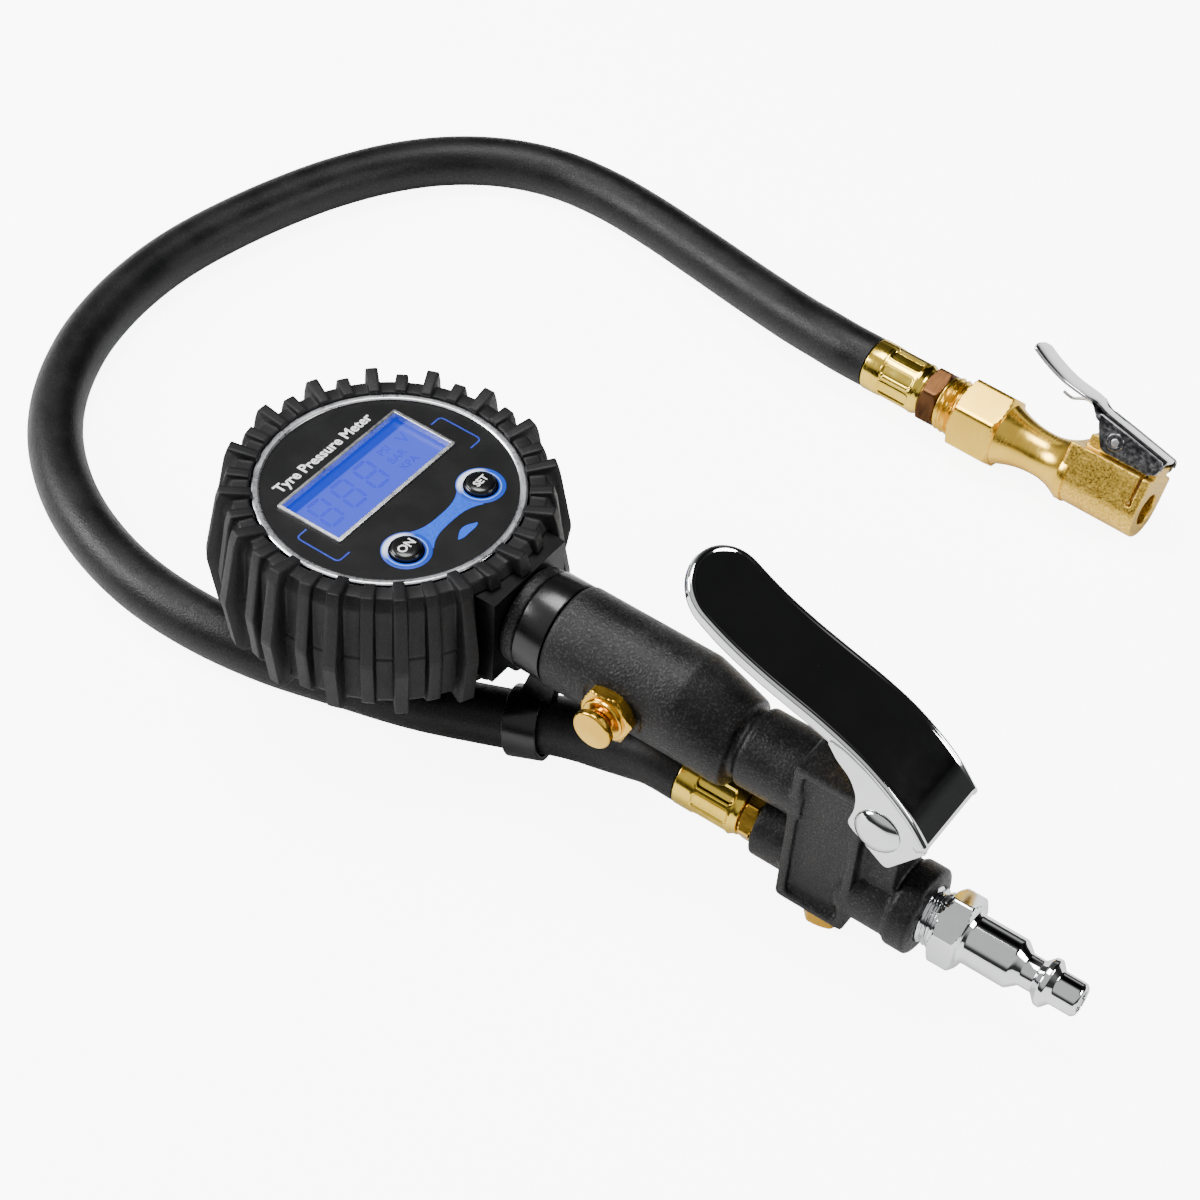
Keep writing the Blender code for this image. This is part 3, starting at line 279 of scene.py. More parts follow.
# %% The hose's route
HOSE_ROUTE = [
    (14.0, 0.0, 19.1), (5.4, 0.0, 19.0), (-1.5, 0.0, 16.9), (-8.4, 0.0, 14.6), (-15.0, -0.1, 12.6),
    (-22.0, -0.9, 10.6), (-28.6, -2.6, 8.8), (-39.0, -6.3, 7.5), (-55.0, -12.8, 7.25), (-73.0, -18.2, 7.25),
    (-92.0, -23.4, 7.25), (-112.0, -26.0, 7.25), (-132.0, -25.3, 7.25), (-151.0, -20.8, 7.25),
    (-168.5, -12.9, 7.25), (-184.3, -1.3, 7.25), (-196.4, 13.0, 7.25), (-205.5, 30.4, 7.25),
    (-210.5, 47.5, 7.25), (-212.6, 64.0, 7.25), (-212.3, 80.0, 7.25), (-209.6, 97.5, 7.25),
    (-205.4, 114.5, 7.25), (-199.7, 130.7, 7.25), (-191.5, 146.4, 7.25), (-181.0, 159.4, 7.25),
    (-167.5, 169.4, 7.25), (-152.0, 175.0, 7.25), (-135.0, 176.2, 7.25), (-117.0, 174.4, 7.25),
    (-98.0, 171.0, 7.3), (-79.0, 166.8, 7.9), (-61.0, 162.4, 9.2), (-49.5, 159.7, 10.6),
    (-41.3, 158.2, 11.2), (-32.2, 157.72, 11.2),
]
HOSE_R = 7.2


def smooth_path(route, count):
    """Catmull-Rom: half of (2p1 + (p2-p0)t + (2p0-5p1+4p2-p3)t^2 + (3p1-p0-3p2+p3)t^3), at even steps."""
    points = np.array(route, float)
    points = np.vstack([2 * points[0] - points[1], points, 2 * points[-1] - points[-2]])
    t = np.linspace(0.0, 1.0, 24, endpoint=False)[None, :, None]
    p0, p1, p2, p3 = (points[k : len(points) - 3 + k, None, :] for k in range(4))
    fine = 0.5 * (
        2 * p1 + (p2 - p0) * t + (2 * p0 - 5 * p1 + 4 * p2 - p3) * t**2 + (3 * p1 - p0 - 3 * p2 + p3) * t**3
    )
    fine = np.vstack([fine.reshape(-1, 3), points[-2]])
    run = np.concatenate([[0.0], np.cumsum(np.linalg.norm(np.diff(fine, axis=0), axis=1))])
    wanted = np.linspace(0.0, run[-1], count)
    return np.stack([np.interp(wanted, run, fine[:, k]) for k in range(3)], 1), run[-1]


def tube(name, path, radius, columns=48, above=(0.0, 0.0, 1.0), sharp=35.0):
    """path + r cos(turn) side + r sin(turn) top, where side is square to the path and to above."""
    path = np.asarray(path, float)
    tangent = directions(path)
    side = np.cross(tangent, np.array(above))
    side /= np.linalg.norm(side, axis=1, keepdims=True)
    top = np.cross(side, tangent)
    turn = np.linspace(0.0, 2 * np.pi, columns, endpoint=False)[None, :, None]
    ring = side[:, None, :] * np.cos(turn) + top[:, None, :] * np.sin(turn)
    points = path[:, None, :] + np.asarray(radius).reshape(-1, 1, 1) * ring
    ends = [np.repeat(end[None, None, :], columns, 1) for end in (path[0], path[-1])]
    return surface(name, np.concatenate([ends[0], points, ends[1]]), sharp=sharp)


hose_path, HOSE_LENGTH = smooth_path(HOSE_ROUTE, 420)
hose = tube("hose_cover", hose_path, HOSE_R)
print("hose is", round(HOSE_LENGTH), "mm long")

# %% [markdown]
# A finish is a small tree of nodes. Writing its sums as Python expressions keeps them readable: a wire wraps
# one socket, and adding or multiplying wires adds the Math node that does it.


# %% Sums on node sockets
class Wire:
    """A socket of a material's tree that takes part in sums."""

    def __init__(self, tree, socket):
        self.tree, self.socket = tree, socket

    def node(self, kind, settings=None, sockets=None, output=0):
        """Any node: its settings are set first, then its sockets, from numbers, colours or wires."""
        made = self.tree.nodes.new(kind)
        for key, value in (settings or {}).items():
            if key == "stops":
                ramp = made.color_ramp
                for place, grey in value:
                    stop = ramp.elements.new(place)
                    stop.color = (grey, grey, grey, 1.0)
                ramp.elements.remove(ramp.elements[0])
                ramp.elements.remove(ramp.elements[-1])
            else:
                setattr(made, key, value)
        for key, value in (sockets or {}).items():
            if isinstance(value, Wire):
                self.tree.links.new(value.socket, made.inputs[key])
            else:
                made.inputs[key].default_value = value
        return Wire(self.tree, made.outputs[output])

    def math(self, operation, first, second=0.0):
        return self.node("ShaderNodeMath", {"operation": operation}, {0: first, 1: second})

    def __add__(self, other):
        return self.math("ADD", self, other)

    def __radd__(self, other):
        return self.math("ADD", other, self)

    def __sub__(self, other):
        return self.math("SUBTRACT", self, other)

    def __rsub__(self, other):
        return self.math("SUBTRACT", other, self)

    def __mul__(self, other):
        return self.math("MULTIPLY", self, other)

    def __rmul__(self, other):
        return self.math("MULTIPLY", other, self)

    def between(self, low, high):
        """0 below low, 1 above high, and a smooth step between."""
        sockets = {"Value": self, "From Min": low, "From Max": high}
        return self.node("ShaderNodeMapRange", {"interpolation_type": "SMOOTHSTEP"}, sockets)

    def mix(self, low, high):
        """The colour low where this wire is 0, and high where it is 1."""
        settings = {"data_type": "RGBA"}
        made = self.node("ShaderNodeMix", settings, {"Factor": self}, 2)
        for key, colour in ((6, low), (7, high)):
            socket = made.socket.node.inputs[key]
            if isinstance(colour, Wire):
                self.tree.links.new(colour.socket, socket)
            else:
                socket.default_value = (*colour, 1.0)
        return made

    def noise(self, size_mm, detail=2.0, stretch=(1, 1, 1), turn=(0, 0, 0)):
        """Noise whose blots are about size_mm across, on this wire's coordinates."""
        sockets = {"Vector": self, "Scale": stretch, "Rotation": turn}
        spot = self.node("ShaderNodeMapping", {"vector_type": "TEXTURE"}, sockets)
        sockets = {"Vector": spot, "Scale": 1000.0 / size_mm, "Detail": detail}
        return self.node("ShaderNodeTexNoise", None, sockets)

    def axis(self, number):
        """One coordinate of this wire's vector: 0 is X, 1 is Y and 2 is Z."""
        return self.node("ShaderNodeSeparateXYZ", None, {0: self}, number)

    def towards(self, direction):
        """The dot product with a direction, which is 1 where this wire's vector points that way."""
        return self.node("ShaderNodeVectorMath", {"operation": "DOT_PRODUCT"}, {0: self, 1: direction}, 1)


def new_finish(name):
    """A material, a wire on its Object coordinates and its shader."""
    mat = bpy.data.materials.new(name)
    mat.use_nodes = True
    tree = mat.node_tree
    place = tree.nodes.new("ShaderNodeTexCoord").outputs["Object"]
    return mat, Wire(tree, place), tree.nodes["Principled BSDF"]


def feed(shader, **values):
    """Set or link the shader's sockets; a word's underscores are spaces."""
    for key, value in values.items():
        socket = shader.inputs[key.replace("_", " ")]
        if isinstance(value, Wire):
            value.tree.links.new(value.socket, socket)
        elif isinstance(value, tuple):
            socket.default_value = (*value, 1.0)
        else:
            socket.default_value = value


def bumped(place, height, depth_mm):
    """A Bump node over a height that goes from 0 to 1, depth_mm deep."""
    return place.node("ShaderNodeBump", None, {"Height": height, "Distance": depth_mm * MM, "Strength": 1.0})


# %% [markdown]
# Coats and rubbers here differ in a few ways only: how coarse the grain is, how deep, how much the colour and
# the gloss wander, and how pale the painted glints on the grain's tops are. So one recipe makes them all. A
# broad noise blends two colours at random, a fine one gives the grain's relief, and the grain's tops are a
# little glossier and painted paler, as painted glints.


# %% Coats, rubbers and plastics
def coat(name, dark, pale, rough, spread, grain_mm, relief_mm, broad_mm=14.0, specular=0.25):
    """Broad noise mixes dark and pale; fine noise lifts the surface, and its tops are glossier and painted
    paler, as painted glints.
    """
    mat, place, shader = new_finish(name)
    broad = place.noise(broad_mm, 3.0).between(0.35, 0.7)
    grain = place.noise(grain_mm, 2.0)
    tops = grain.between(0.52, 0.66)
    # The grain's tops pull the colour towards pale as painted glints, over the broad noise's random tone.
    colour = (broad * 0.35 + tops * 0.65).mix(dark, pale)
    feed(shader, Base_Color=colour, Roughness=rough + spread * (broad - tops))
    feed(shader, Specular_IOR_Level=specular)
    feed(shader, Normal=bumped(place, grain, relief_mm))
    return mat


# %% [markdown]
# Metals take their colour from what they reflect, so their detail is in the roughness and in fine tool marks.
# On turned brass the marks run round the axis, which a noise does when it is stretched across that axis.


# %% Metals
def metal(
    name, dark, pale, rough, spread, marks=(0.5, 6.0, 6.0), relief_mm=0.004, turn=(0, 0, 0),
    size_mm=1.0, share=0.35,
):
    """Broad noise mixes two tints and gloss; a noise stretched by marks gives tool lines."""
    mat, place, shader = new_finish(name)
    broad = place.noise(9.0, 3.0).between(0.3, 0.7)
    lines = place.noise(size_mm, 2.0, marks, turn)
    colour = ((1 - share) * broad + share * lines.between(0.3, 0.7)).mix(dark, pale)
    feed(shader, Base_Color=colour, Metallic=1.0)
    feed(shader, Roughness=rough + spread * (lines.between(0.3, 0.7) + broad - 1.0))
    feed(shader, Normal=bumped(place, lines, relief_mm))
    return mat


CHUCK_AXIS = (0.0, 0.0, CHUCK_TURN)
FINISH = {
    "casting": coat("powder_coat", (0.001, 0.001, 0.0012), (0.036, 0.036, 0.037), 0.36, 0.12, 0.50, 0.20),
    "rubber": coat("boot_rubber", (0.004, 0.004, 0.0045), (0.011, 0.011, 0.012), 0.50, 0.08, 0.35, 0.03),
    "hose": coat("hose_rubber", (0.001, 0.001, 0.0012), (0.014, 0.014, 0.0145), 0.38, 0.08, 0.42, 0.12),
    "strap": coat(
        "strap_plastic", (0.0015, 0.0015, 0.002), (0.004, 0.004, 0.0045), 0.22, 0.04, 0.8, 0.008, 14.0, 0.5
    ),
    "plastic": coat("black_plastic", (0.002, 0.002, 0.0025), (0.006, 0.006, 0.0065), 0.36, 0.06, 0.5, 0.02),
    "face": coat(
        "face_print", (0.002, 0.002, 0.0022), (0.008, 0.008, 0.0085), 0.46, 0.08, 0.28, 0.006, 8.0, 0.2
    ),
    "seal": coat("seal_rubber", (0.014, 0.014, 0.015), (0.030, 0.030, 0.031), 0.58, 0.06, 0.4, 0.02),
    "board": coat("green_board", (0.010, 0.075, 0.035), (0.025, 0.150, 0.070), 0.36, 0.06, 0.9, 0.02, 3.0),
    "cell": coat("battery_wrap", (0.12, 0.13, 0.14), (0.28, 0.29, 0.31), 0.34, 0.06, 2.0, 0.01, 7.0),
    "chrome": metal("chrome", (0.78, 0.79, 0.80), (0.86, 0.87, 0.88), 0.055, 0.012, (3, 3, 3), 0.0006),
    "silver": metal("silver_trim", (0.70, 0.71, 0.74), (0.90, 0.91, 0.93), 0.30, 0.06, (1, 1, 1), 0.003),
    "steel": metal("plain_steel", (0.42, 0.42, 0.43), (0.60, 0.60, 0.61), 0.30, 0.06, (1, 5, 5), 0.004),
    "brass": metal("turned_brass", (0.74, 0.42, 0.045), (0.93, 0.58, 0.09), 0.20, 0.05, (5, 0.5, 5), 0.004),
    "gold": metal("gold_plate", (0.84, 0.56, 0.06), (0.97, 0.71, 0.12), 0.15, 0.04, (0.6, 5, 5), 0.003),
    "bronze": metal("dull_nut", (0.035, 0.016, 0.007), (0.14, 0.062, 0.024), 0.34, 0.08, (0.6, 4, 4), 0.006),
    "chuck": metal(
        "chuck_brass", (0.76, 0.47, 0.055), (0.92, 0.60, 0.09), 0.24, 0.05, (0.4, 6, 6), 0.004, CHUCK_AXIS
    ),
    "grain": metal(
        "chuck_grain", (0.46, 0.27, 0.03), (0.98, 0.66, 0.12), 0.36, 0.10, (1, 1, 1), 0.08, CHUCK_AXIS,
        0.5, 0.85,
    ),
    # The clip's ears are chrome like its plate; this darker metal colour is a painted dark reflection.
    "dark": metal(
        "dark_steel", (0.05, 0.05, 0.055), (0.32, 0.32, 0.33), 0.22, 0.08, (1, 1, 1), 0.03, CHUCK_AXIS,
        1.2, 0.8,
    ),
}
for item in frame["record"]["subparts"]:
    slot = item["material_slot"]
    mesh = nodes[item["node"]].data
    mesh.materials.clear()
    mesh.materials.append(FINISH.get(slot, FINISH["plastic"]))
print("finishes", sorted(FINISH))

# %% [markdown]
# A piece has to be told its finish, the CAD body that it moves with, and the CAD nodes that it stands for.
# One function says all three, so none is forgotten.


# %% Putting a piece in place
def dress(piece, finish, body, slot, *replaced):
    """Give a piece its finish and its body, and hide the CAD nodes it stands for; slot is not used."""
    piece.data.materials.clear()
    piece.data.materials.append(FINISH[finish])
    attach(piece, body)
    if replaced:
        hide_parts(*replaced)
    print(piece.name, len(piece.data.polygons), "faces")
    return piece


dress(hose, "hose", "gun", "rubber", "hose")

# %% [markdown]
# The boot is moulded rubber with 32 ribs. Its radius depends on how far along its section a point is, and on
# how much rib there is in its direction. The section between ribs and the section over a rib have the same
# number of points, so a share of one plus a share of the other makes every column.

# %% The boot
BETWEEN = [
    (31.95, -1.6), (32.4, 0.2), (36.2, 0.2), (37.6, -3.0), (38.1, -16.6), (37.9, -17.4), (38.25, -18.0),
    (37.5, -31.5), (36.2, -33.4), (29.0, -35.6), (29.0, -34.3), (31.95, -34.3),
]
LARGE = [
    (31.95, -1.6), (31.6, 1.3), (38.9, 2.5), (39.9, -0.6), (42.95, -16.9), (42.95, -17.6), (43.0, -18.2),
    (41.0, -32.3), (39.2, -34.6), (29.0, -35.6), (29.0, -34.3), (31.95, -34.3),
]
SMALL = [
    (31.95, -1.6), (32.2, 1.0), (37.6, 1.5), (38.5, -1.4), (40.85, -16.9), (40.85, -17.4), (40.9, -17.9),
    (39.6, -30.6), (38.2, -32.4), (29.0, -35.6), (29.0, -34.3), (31.95, -34.3),
]
NECK_START, NECK_END = math.radians(-25.4), math.radians(47.4)
NECK_RIBS, FAR_RIBS = 6, 26
BOOT_SHARP = 50.0


def rib_directions():
    """NECK_RIBS evenly over the neck and FAR_RIBS evenly over the rest; the even ones are large."""
    near = np.linspace(NECK_START, NECK_END, NECK_RIBS, endpoint=False)
    far = np.linspace(NECK_END, NECK_START + 2 * np.pi, FAR_RIBS, endpoint=False)
    return np.concatenate([near, far])


def boot():
    """Section = between + rise * (rib - between), where rise goes from 0 to 1 over a rib's slanted side."""
    ribs = rib_directions()
    across = np.radians([-2.85, -2.6, -2.42, -2.2, -1.95, -0.8, 0.8, 1.95, 2.2, 2.42, 2.6, 2.85])
    rise = np.array([0.0, 0.06, 0.45, 0.93, 1.0, 1.0, 1.0, 1.0, 0.93, 0.45, 0.06, 0.0])
    rounds = np.concatenate([ribs, ribs[:1] + 2 * np.pi])
    gaps = np.diff(rounds)[:, None] - 2 * across[-1]
    valley = across[-1] + gaps * np.array([[0.25, 0.5, 0.75]])
    turn = np.concatenate([ribs[:, None] + across[None, :], ribs[:, None] + valley], 1).ravel()
    rise = np.tile(np.concatenate([rise, np.zeros(3)]), len(ribs))
    large = np.repeat(np.arange(len(ribs)) % 2 == 0, len(across) + 3)
    sections = [softened(rows, 0.45, 4, closed=True) for rows in (BETWEEN, LARGE, SMALL)]
    rib = np.where(large[None, :, None], sections[1][:, None, :], sections[2][:, None, :])
    section = sections[0][:, None, :] + rise[None, :, None] * (rib - sections[0][:, None, :])
    radius, height = section[..., 0], section[..., 1]
    points = placed(FACE, height, radius * np.cos(turn), radius * np.sin(turn))
    return surface("boot_cover", points, wrap_rows=True, sharp=BOOT_SHARP)


def boxed(name, low, high):
    """A block between two corners."""
    low, high = np.array(low, float), np.array(high, float)
    pick = np.array([[(k >> b) & 1 for b in range(3)] for k in range(8)])
    faces = [(0, 2, 3, 1), (4, 5, 7, 6), (0, 1, 5, 4), (2, 6, 7, 3), (0, 4, 6, 2), (1, 3, 7, 5)]
    return link_mesh(name, low + pick * (high - low), faces)


def baked(piece):
    """Replace a piece's mesh with what its modifiers make of it."""
    scene_now = bpy.context.evaluated_depsgraph_get()
    mesh = bpy.data.meshes.new_from_object(piece.evaluated_get(scene_now))
    piece.modifiers.clear()
    piece.data = mesh
    return piece


def bevelled(piece, width_mm, segments):
    """Round a plate's edges."""
    edge = piece.modifiers.new("edge", "BEVEL")
    edge.width, edge.segments, edge.limit_method = width_mm * MM, segments, "ANGLE"
    return baked(piece)


def combined(piece, helpers, operation="DIFFERENCE"):
    """Cut helpers out of a piece, or join them to it, exactly."""
    for helper in helpers:
        change = piece.modifiers.new(helper.name, "BOOLEAN")
        change.operation, change.solver, change.object = operation, "EXACT", helper
    baked(piece)
    for helper in helpers:
        bpy.data.objects.remove(helper)
    return piece


boot_cover = boot()
window = boxed("boot_window", (GAUGE_X + 24.0, -13.6, FACE_Z - 28.2), (GAUGE_X + 50.0, 13.6, FACE_Z - 2.4))
combined(boot_cover, [window])
boot_cover.data.set_sharp_from_angle(angle=math.radians(BOOT_SHARP))
dress(boot_cover, "rubber", "gun", "rubber", "gauge_boot")

# %% [markdown]
# The face is a printed plate under a bright ring. The display sits in a bevelled silver frame, and each
# button is a glossy dome in a printed halo. The prints are real sheets, 0.03 mm thick.

# %% Ring, frame and buttons
FACE_TOP = -0.35
ring = turned(
    "face_ring", [(-0.3, 29.9), (-0.05, 29.9), (0.25, 30.3), (0.3, 31.3), (0.05, 31.75), (-0.3, 31.75)],
    FACE, 240, 0.12, closed=True,
)
dress(ring, "silver", "gun", "chrome", "bezel_ring")
SCREEN_X, SCREEN_Y = -6.6, -0.16
SCREEN_HALF_X, SCREEN_HALF_Y = 9.3, 21.18
FRAME_STEPS = [
    (0.0, -0.33), (0.0, 0.12), (-0.12, 0.3), (-0.75, 0.35), (-0.95, 0.22), (-1.1, -1.3), (-0.9, -1.3),
]
BUTTON_X, BUTTON_Y, DOME_R = 15.8, 13.59, 3.55
BUTTONS = (("on_button", -BUTTON_Y, "on_cap", "ON", 3.1), ("func_button", BUTTON_Y, "func_cap", "SET", 2.6))


def rounded_rectangle(half_x, half_y, corner, steps=8):
    """Four quarter circles of radius corner, round a rectangle."""
    turn = (np.arange(4)[:, None] * np.pi / 2 + np.linspace(0, np.pi / 2, steps)[None, :]).ravel()
    signs = np.repeat([[1, 1], [-1, 1], [-1, -1], [1, -1]], steps, 0)
    centre = signs * np.array([half_x - corner, half_y - corner])
    return centre + corner * np.stack([np.cos(turn), np.sin(turn)], 1)


def window_frame():
    """Rounded rectangles that shrink by FRAME_STEPS: up the outside, over the top and down inside."""
    rings = []
    for grow, height in FRAME_STEPS:
        outline = rounded_rectangle(SCREEN_HALF_X + grow, SCREEN_HALF_Y + grow, max(0.5 + 0.4 * grow, 0.12))
        x, y = outline[:, 0] + SCREEN_X, outline[:, 1] + SCREEN_Y
        rings.append(placed(FACE, np.full(len(x), height), x, y))
    return surface("window_frame", np.array(rings), wrap_rows=True, sharp=30.0)


def button_frame(y):
    """The axis of the button at y."""
    return frame_at((GAUGE_X + BUTTON_X, y, FACE_Z), (0, 0, 1), (1, 0, 0))


def cap_line():
    """A dome, 0.55 + 0.62 sqrt(1 - sin^4 t) high at radius DOME_R sin t, then a groove and a skirt."""
    rise = np.sin(np.linspace(0, math.pi / 2, 14))
    dome = np.stack([0.55 + 0.62 * np.sqrt(1 - rise**4), DOME_R * rise], 1)
    skirt = [(0.5, 3.6), (0.35, 3.78), (0.5, 3.92), (-2.6, 3.95), (-2.6, 5.0), (-4.0, 5.0), (-4.0, 0.0)]
    return np.concatenate([dome, skirt])


dress(window_frame(), "silver", "gun", "chrome", "display_frame")
line = cap_line()
for name, y, body, word, size in BUTTONS:
    cap = spun(name + "_cap", line[:, 0], np.repeat(line[:, 1:], 72, 1), button_frame(y), sharp=40.0)
    dress(cap, "strap", body, "plastic", name)

# %% [markdown]
# The display glows. A deeper blue band of painted shade runs along its top and its left end, under the
# frame's rim, and the digits are darker bars.

# %% Prints and the display
PRINT_TOP = FACE_TOP + 0.03
DIGIT_LOW, DIGIT_TOP, UNIT_HEIGHT = -1.95, -1.92, -1.93


def band(name, path, half_widths, low, high):
    """A flat ribbon in the face's plane: path plus and minus the half width along its own normal."""
    path = np.asarray(path, float)
    tangent = directions(path)
    normal = np.stack([-tangent[:, 1], tangent[:, 0]], 1) * np.broadcast_to(half_widths, len(path))[:, None]
    corners = ((path - normal, low), (path + normal, low), (path + normal, high), (path - normal, high))
    rings = np.stack([placed(FACE, np.full(len(path), h), p[:, 0], p[:, 1]) for p, h in corners], 1)
    caps = rings[[0, -1]].mean(1, keepdims=True).repeat(4, 1)
    return surface(name, np.concatenate([caps[:1], rings, caps[1:]]), sharp=40.0)


def glow(name, strength):
    """The panel's light, with a band of painted shade that follows the distance from the top and from the
    left end.
    """
    mat, place, shader = new_finish(name)
    top = place.axis(0) * 1000.0 - (GAUGE_X + SCREEN_X - 8.2)
    left = place.axis(1) * 1000.0 + 20.4
    # Near the top and the left end the colour turns deeper blue: painted shade from the frame's rim.
    edge = top.between(2.1, 2.7) * left.between(0.9, 1.5)
    colour = edge.mix((0.001, 0.030, 0.75), (0.085, 0.115, 1.05))
    cloud = place.noise(5.0, 2.0).between(0.3, 0.7)
    feed(shader, Base_Color=(0.01, 0.02, 0.08), Emission_Color=colour, Emission_Strength=strength)
    feed(shader, Roughness=0.12 + 0.05 * cloud)
    return mat


def ink(name, dark, pale, rough, emission=0.0):
    """Printing ink: two tints in fine specks, with an emission where one is given: backlight on the display's
    segments, painted glow on the face's prints.
    """
    mat, place, shader = new_finish(name)
    specks = place.noise(0.35, 2.0).between(0.35, 0.7)
    colour = specks.mix(dark, pale)
    feed(shader, Base_Color=colour, Roughness=rough + 0.1 * specks)
    if emission:
        feed(shader, Emission_Color=colour, Emission_Strength=emission)
    return mat


def halo_ink(name):
    """Blue print with a painted silver highlight as a crescent towards the display, and a little painted
    glow: distance and direction from the nearer button.
    """
    mat, place, shader = new_finish(name)
    x = place.axis(0) * 1000.0 - (GAUGE_X + BUTTON_X)
    y = place.math("ABSOLUTE", place.axis(1) * 1000.0) - BUTTON_Y
    radius = place.math("SQRT", x * x + y * y)
    # The silver crescent towards the display is a painted highlight.
    bright = (0.0 - x).between(1.2, 4.6) * (1.0 - radius.between(5.0, 5.9))
    line = radius.between(4.5, 4.7) * (1.0 - radius.between(4.8, 5.0))
    blue = line.mix((0.004, 0.045, 0.40), (0.16, 0.34, 0.95))
    colour = bright.mix(blue, (0.78, 0.84, 0.95))
    feed(shader, Base_Color=colour, Roughness=0.3 + 0.1 * line)
    feed(shader, Emission_Color=colour, Emission_Strength=0.25)
    return mat


FINISH["glow"] = glow("display_light", 1.0)
FINISH["digit"] = ink("display_segment", (0.012, 0.020, 0.36), (0.016, 0.026, 0.42), 0.3, 1.0)
FINISH["white"] = ink("white_print", (0.78, 0.78, 0.78), (0.90, 0.90, 0.90), 0.45)
# The blue marks and the corner lines glow a little: painted glow on the print.
FINISH["blue"] = ink("blue_print", (0.001, 0.060, 0.50), (0.002, 0.085, 0.62), 0.35, 0.25)
FINISH["line"] = ink("line_print", (0.010, 0.030, 0.30), (0.016, 0.045, 0.38), 0.35, 0.25)
FINISH["halo"] = halo_ink("halo_print")
nodes["lcd_panel"].data.materials[0] = FINISH["glow"]


def lettering(name, words, size, x, y, height, finish, slot, bold=0.0):
    """Words that read along +Y of the face, with their tops towards -X, as a thin solid."""
    curve = bpy.data.curves.new(name, "FONT")
    curve.body, curve.size, curve.extrude, curve.offset = words, size * MM, 0.015 * MM, bold * MM
    curve.align_x, curve.align_y, curve.resolution_u = "CENTER", "CENTER", 3
    source = bpy.data.objects.new(name + "_curve", curve)
    bpy.context.collection.objects.link(source)
    mesh = bpy.data.meshes.new_from_object(source.evaluated_get(bpy.context.evaluated_depsgraph_get()))
    bpy.data.objects.remove(source)
    turn = Matrix(((0, -1, 0), (1, 0, 0), (0, 0, 1))).to_4x4()
    mesh.transform(Matrix.Translation(Vector((GAUGE_X + x, y, FACE_Z + height)) * MM) @ turn)
    piece = bpy.data.objects.new(name, mesh)
    bpy.context.collection.objects.link(piece)
    return dress(piece, finish, "gun", slot)


def corner_line(side):
    """A line that bends twice, round one short end of the display."""
    ends = [(-6.0, 22.4), (-6.0, 25.9), (6.2, 25.9), (6.2, 21.9)]
    path = softened([(x, side * (y + 0.25 * (side > 0))) for x, y in ends], 1.3, 7)
    return band("corner_line", path, 0.2, FACE_TOP, PRINT_TOP)


def seven_bars(y):
    """The seven bars of a digit as (start, end) points, with the top towards -X."""
    half, top, middle, bottom = 2.35, -11.4, -7.25, -3.1
    left, right = y - half, y + half
    level = [((x, left), (x, right)) for x in (top, middle, bottom)]
    upper = [((top, y_side), (middle, y_side)) for y_side in (left, right)]
    lower = [((middle, y_side), (bottom, y_side)) for y_side in (left, right)]
    return level + upper + lower


def digit(name, y):
    """Seven bars with pointed ends, leaning a little."""
    parts = []
    for k, (start, end) in enumerate(seven_bars(y)):
        start, end = np.array(start), np.array(end)
        step = (end - start) / np.linalg.norm(end - start)
        start, end = start + 0.28 * step, end - 0.28 * step
        path = np.array([start, start + 0.45 * step, end - 0.45 * step, end])
        path[:, 1] -= 0.12 * (path[:, 0] + 7.25)
        parts.append(band(f"{name}_{k}", path, [0.03, 0.46, 0.46, 0.03], DIGIT_LOW, DIGIT_TOP))
    return joined(name, parts)


prints = [corner_line(-1), corner_line(1)]
dress(joined("corner_lines", prints), "line", "gun", "face")
LINK_HALF, LEAF_HALF = 9.2, 3.6
rows = np.linspace(-LINK_HALF, LINK_HALF, 40)
link_path = np.stack([np.full(len(rows), 16.2), rows], 1)
link = band("button_link", link_path, 1.65 + 2.3 * np.abs(rows / LINK_HALF) ** 3, FACE_TOP, PRINT_TOP)
rows = np.linspace(-LEAF_HALF, LEAF_HALF, 30)
leaf_path = np.stack([22.4 - 0.25 * np.cos(rows), rows], 1)
leaf_widths = 0.02 + 1.1 * np.cos(rows / LEAF_HALF * np.pi / 2) ** 0.8
leaf = band("leaf_mark", leaf_path, leaf_widths, FACE_TOP, PRINT_TOP)
dress(joined("blue_marks", [link, leaf]), "blue", "gun", "face")
for name, y, body, word, size in BUTTONS:
    section = oblong(FACE_TOP, PRINT_TOP + 0.02, 4.2, 5.9)
    halo = turned(name + "_halo", section, button_frame(y), 72, 0.01, closed=True)
    dress(halo, "halo", "gun", "face")
digits = [digit(f"digit_{k}", y) for k, y in enumerate((-14.3, -6.2, 1.9))]
dress(joined("digits", digits), "digit", "gun", "display")
lettering("title_print", "Tyre Pressure Meter", 3.9, -19.3, -0.7, -0.325, "white", "face", 0.09)
UNITS = (
    ("unit_psi", "PSI", 3.0, -9.9, 10.0, 0.03), ("unit_bar", "BAR", 3.0, -6.4, 10.4, 0.03),
    ("unit_kpa", "KPA", 3.0, -2.9, 10.6, 0.03), ("unit_volt", "V", 4.6, -9.2, 16.2, 0.05),
)
for name, word, size, x, y, bold in UNITS:
    lettering(name, word, size, x, y, UNIT_HEIGHT, "digit", "display", bold)
for name, y, body, word, size in BUTTONS:
    mark = lettering(name + "_word", word, size, BUTTON_X, y, 1.175, "white", "face", 0.06)
    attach(mark, body)

# %% [markdown]
# The gun is one die casting under a rough powder coat. A casting has no sharp corner anywhere. Its plain
# shapes are made first, then a voxel remesh fuses them and a few rounds of smoothing melt their edges.


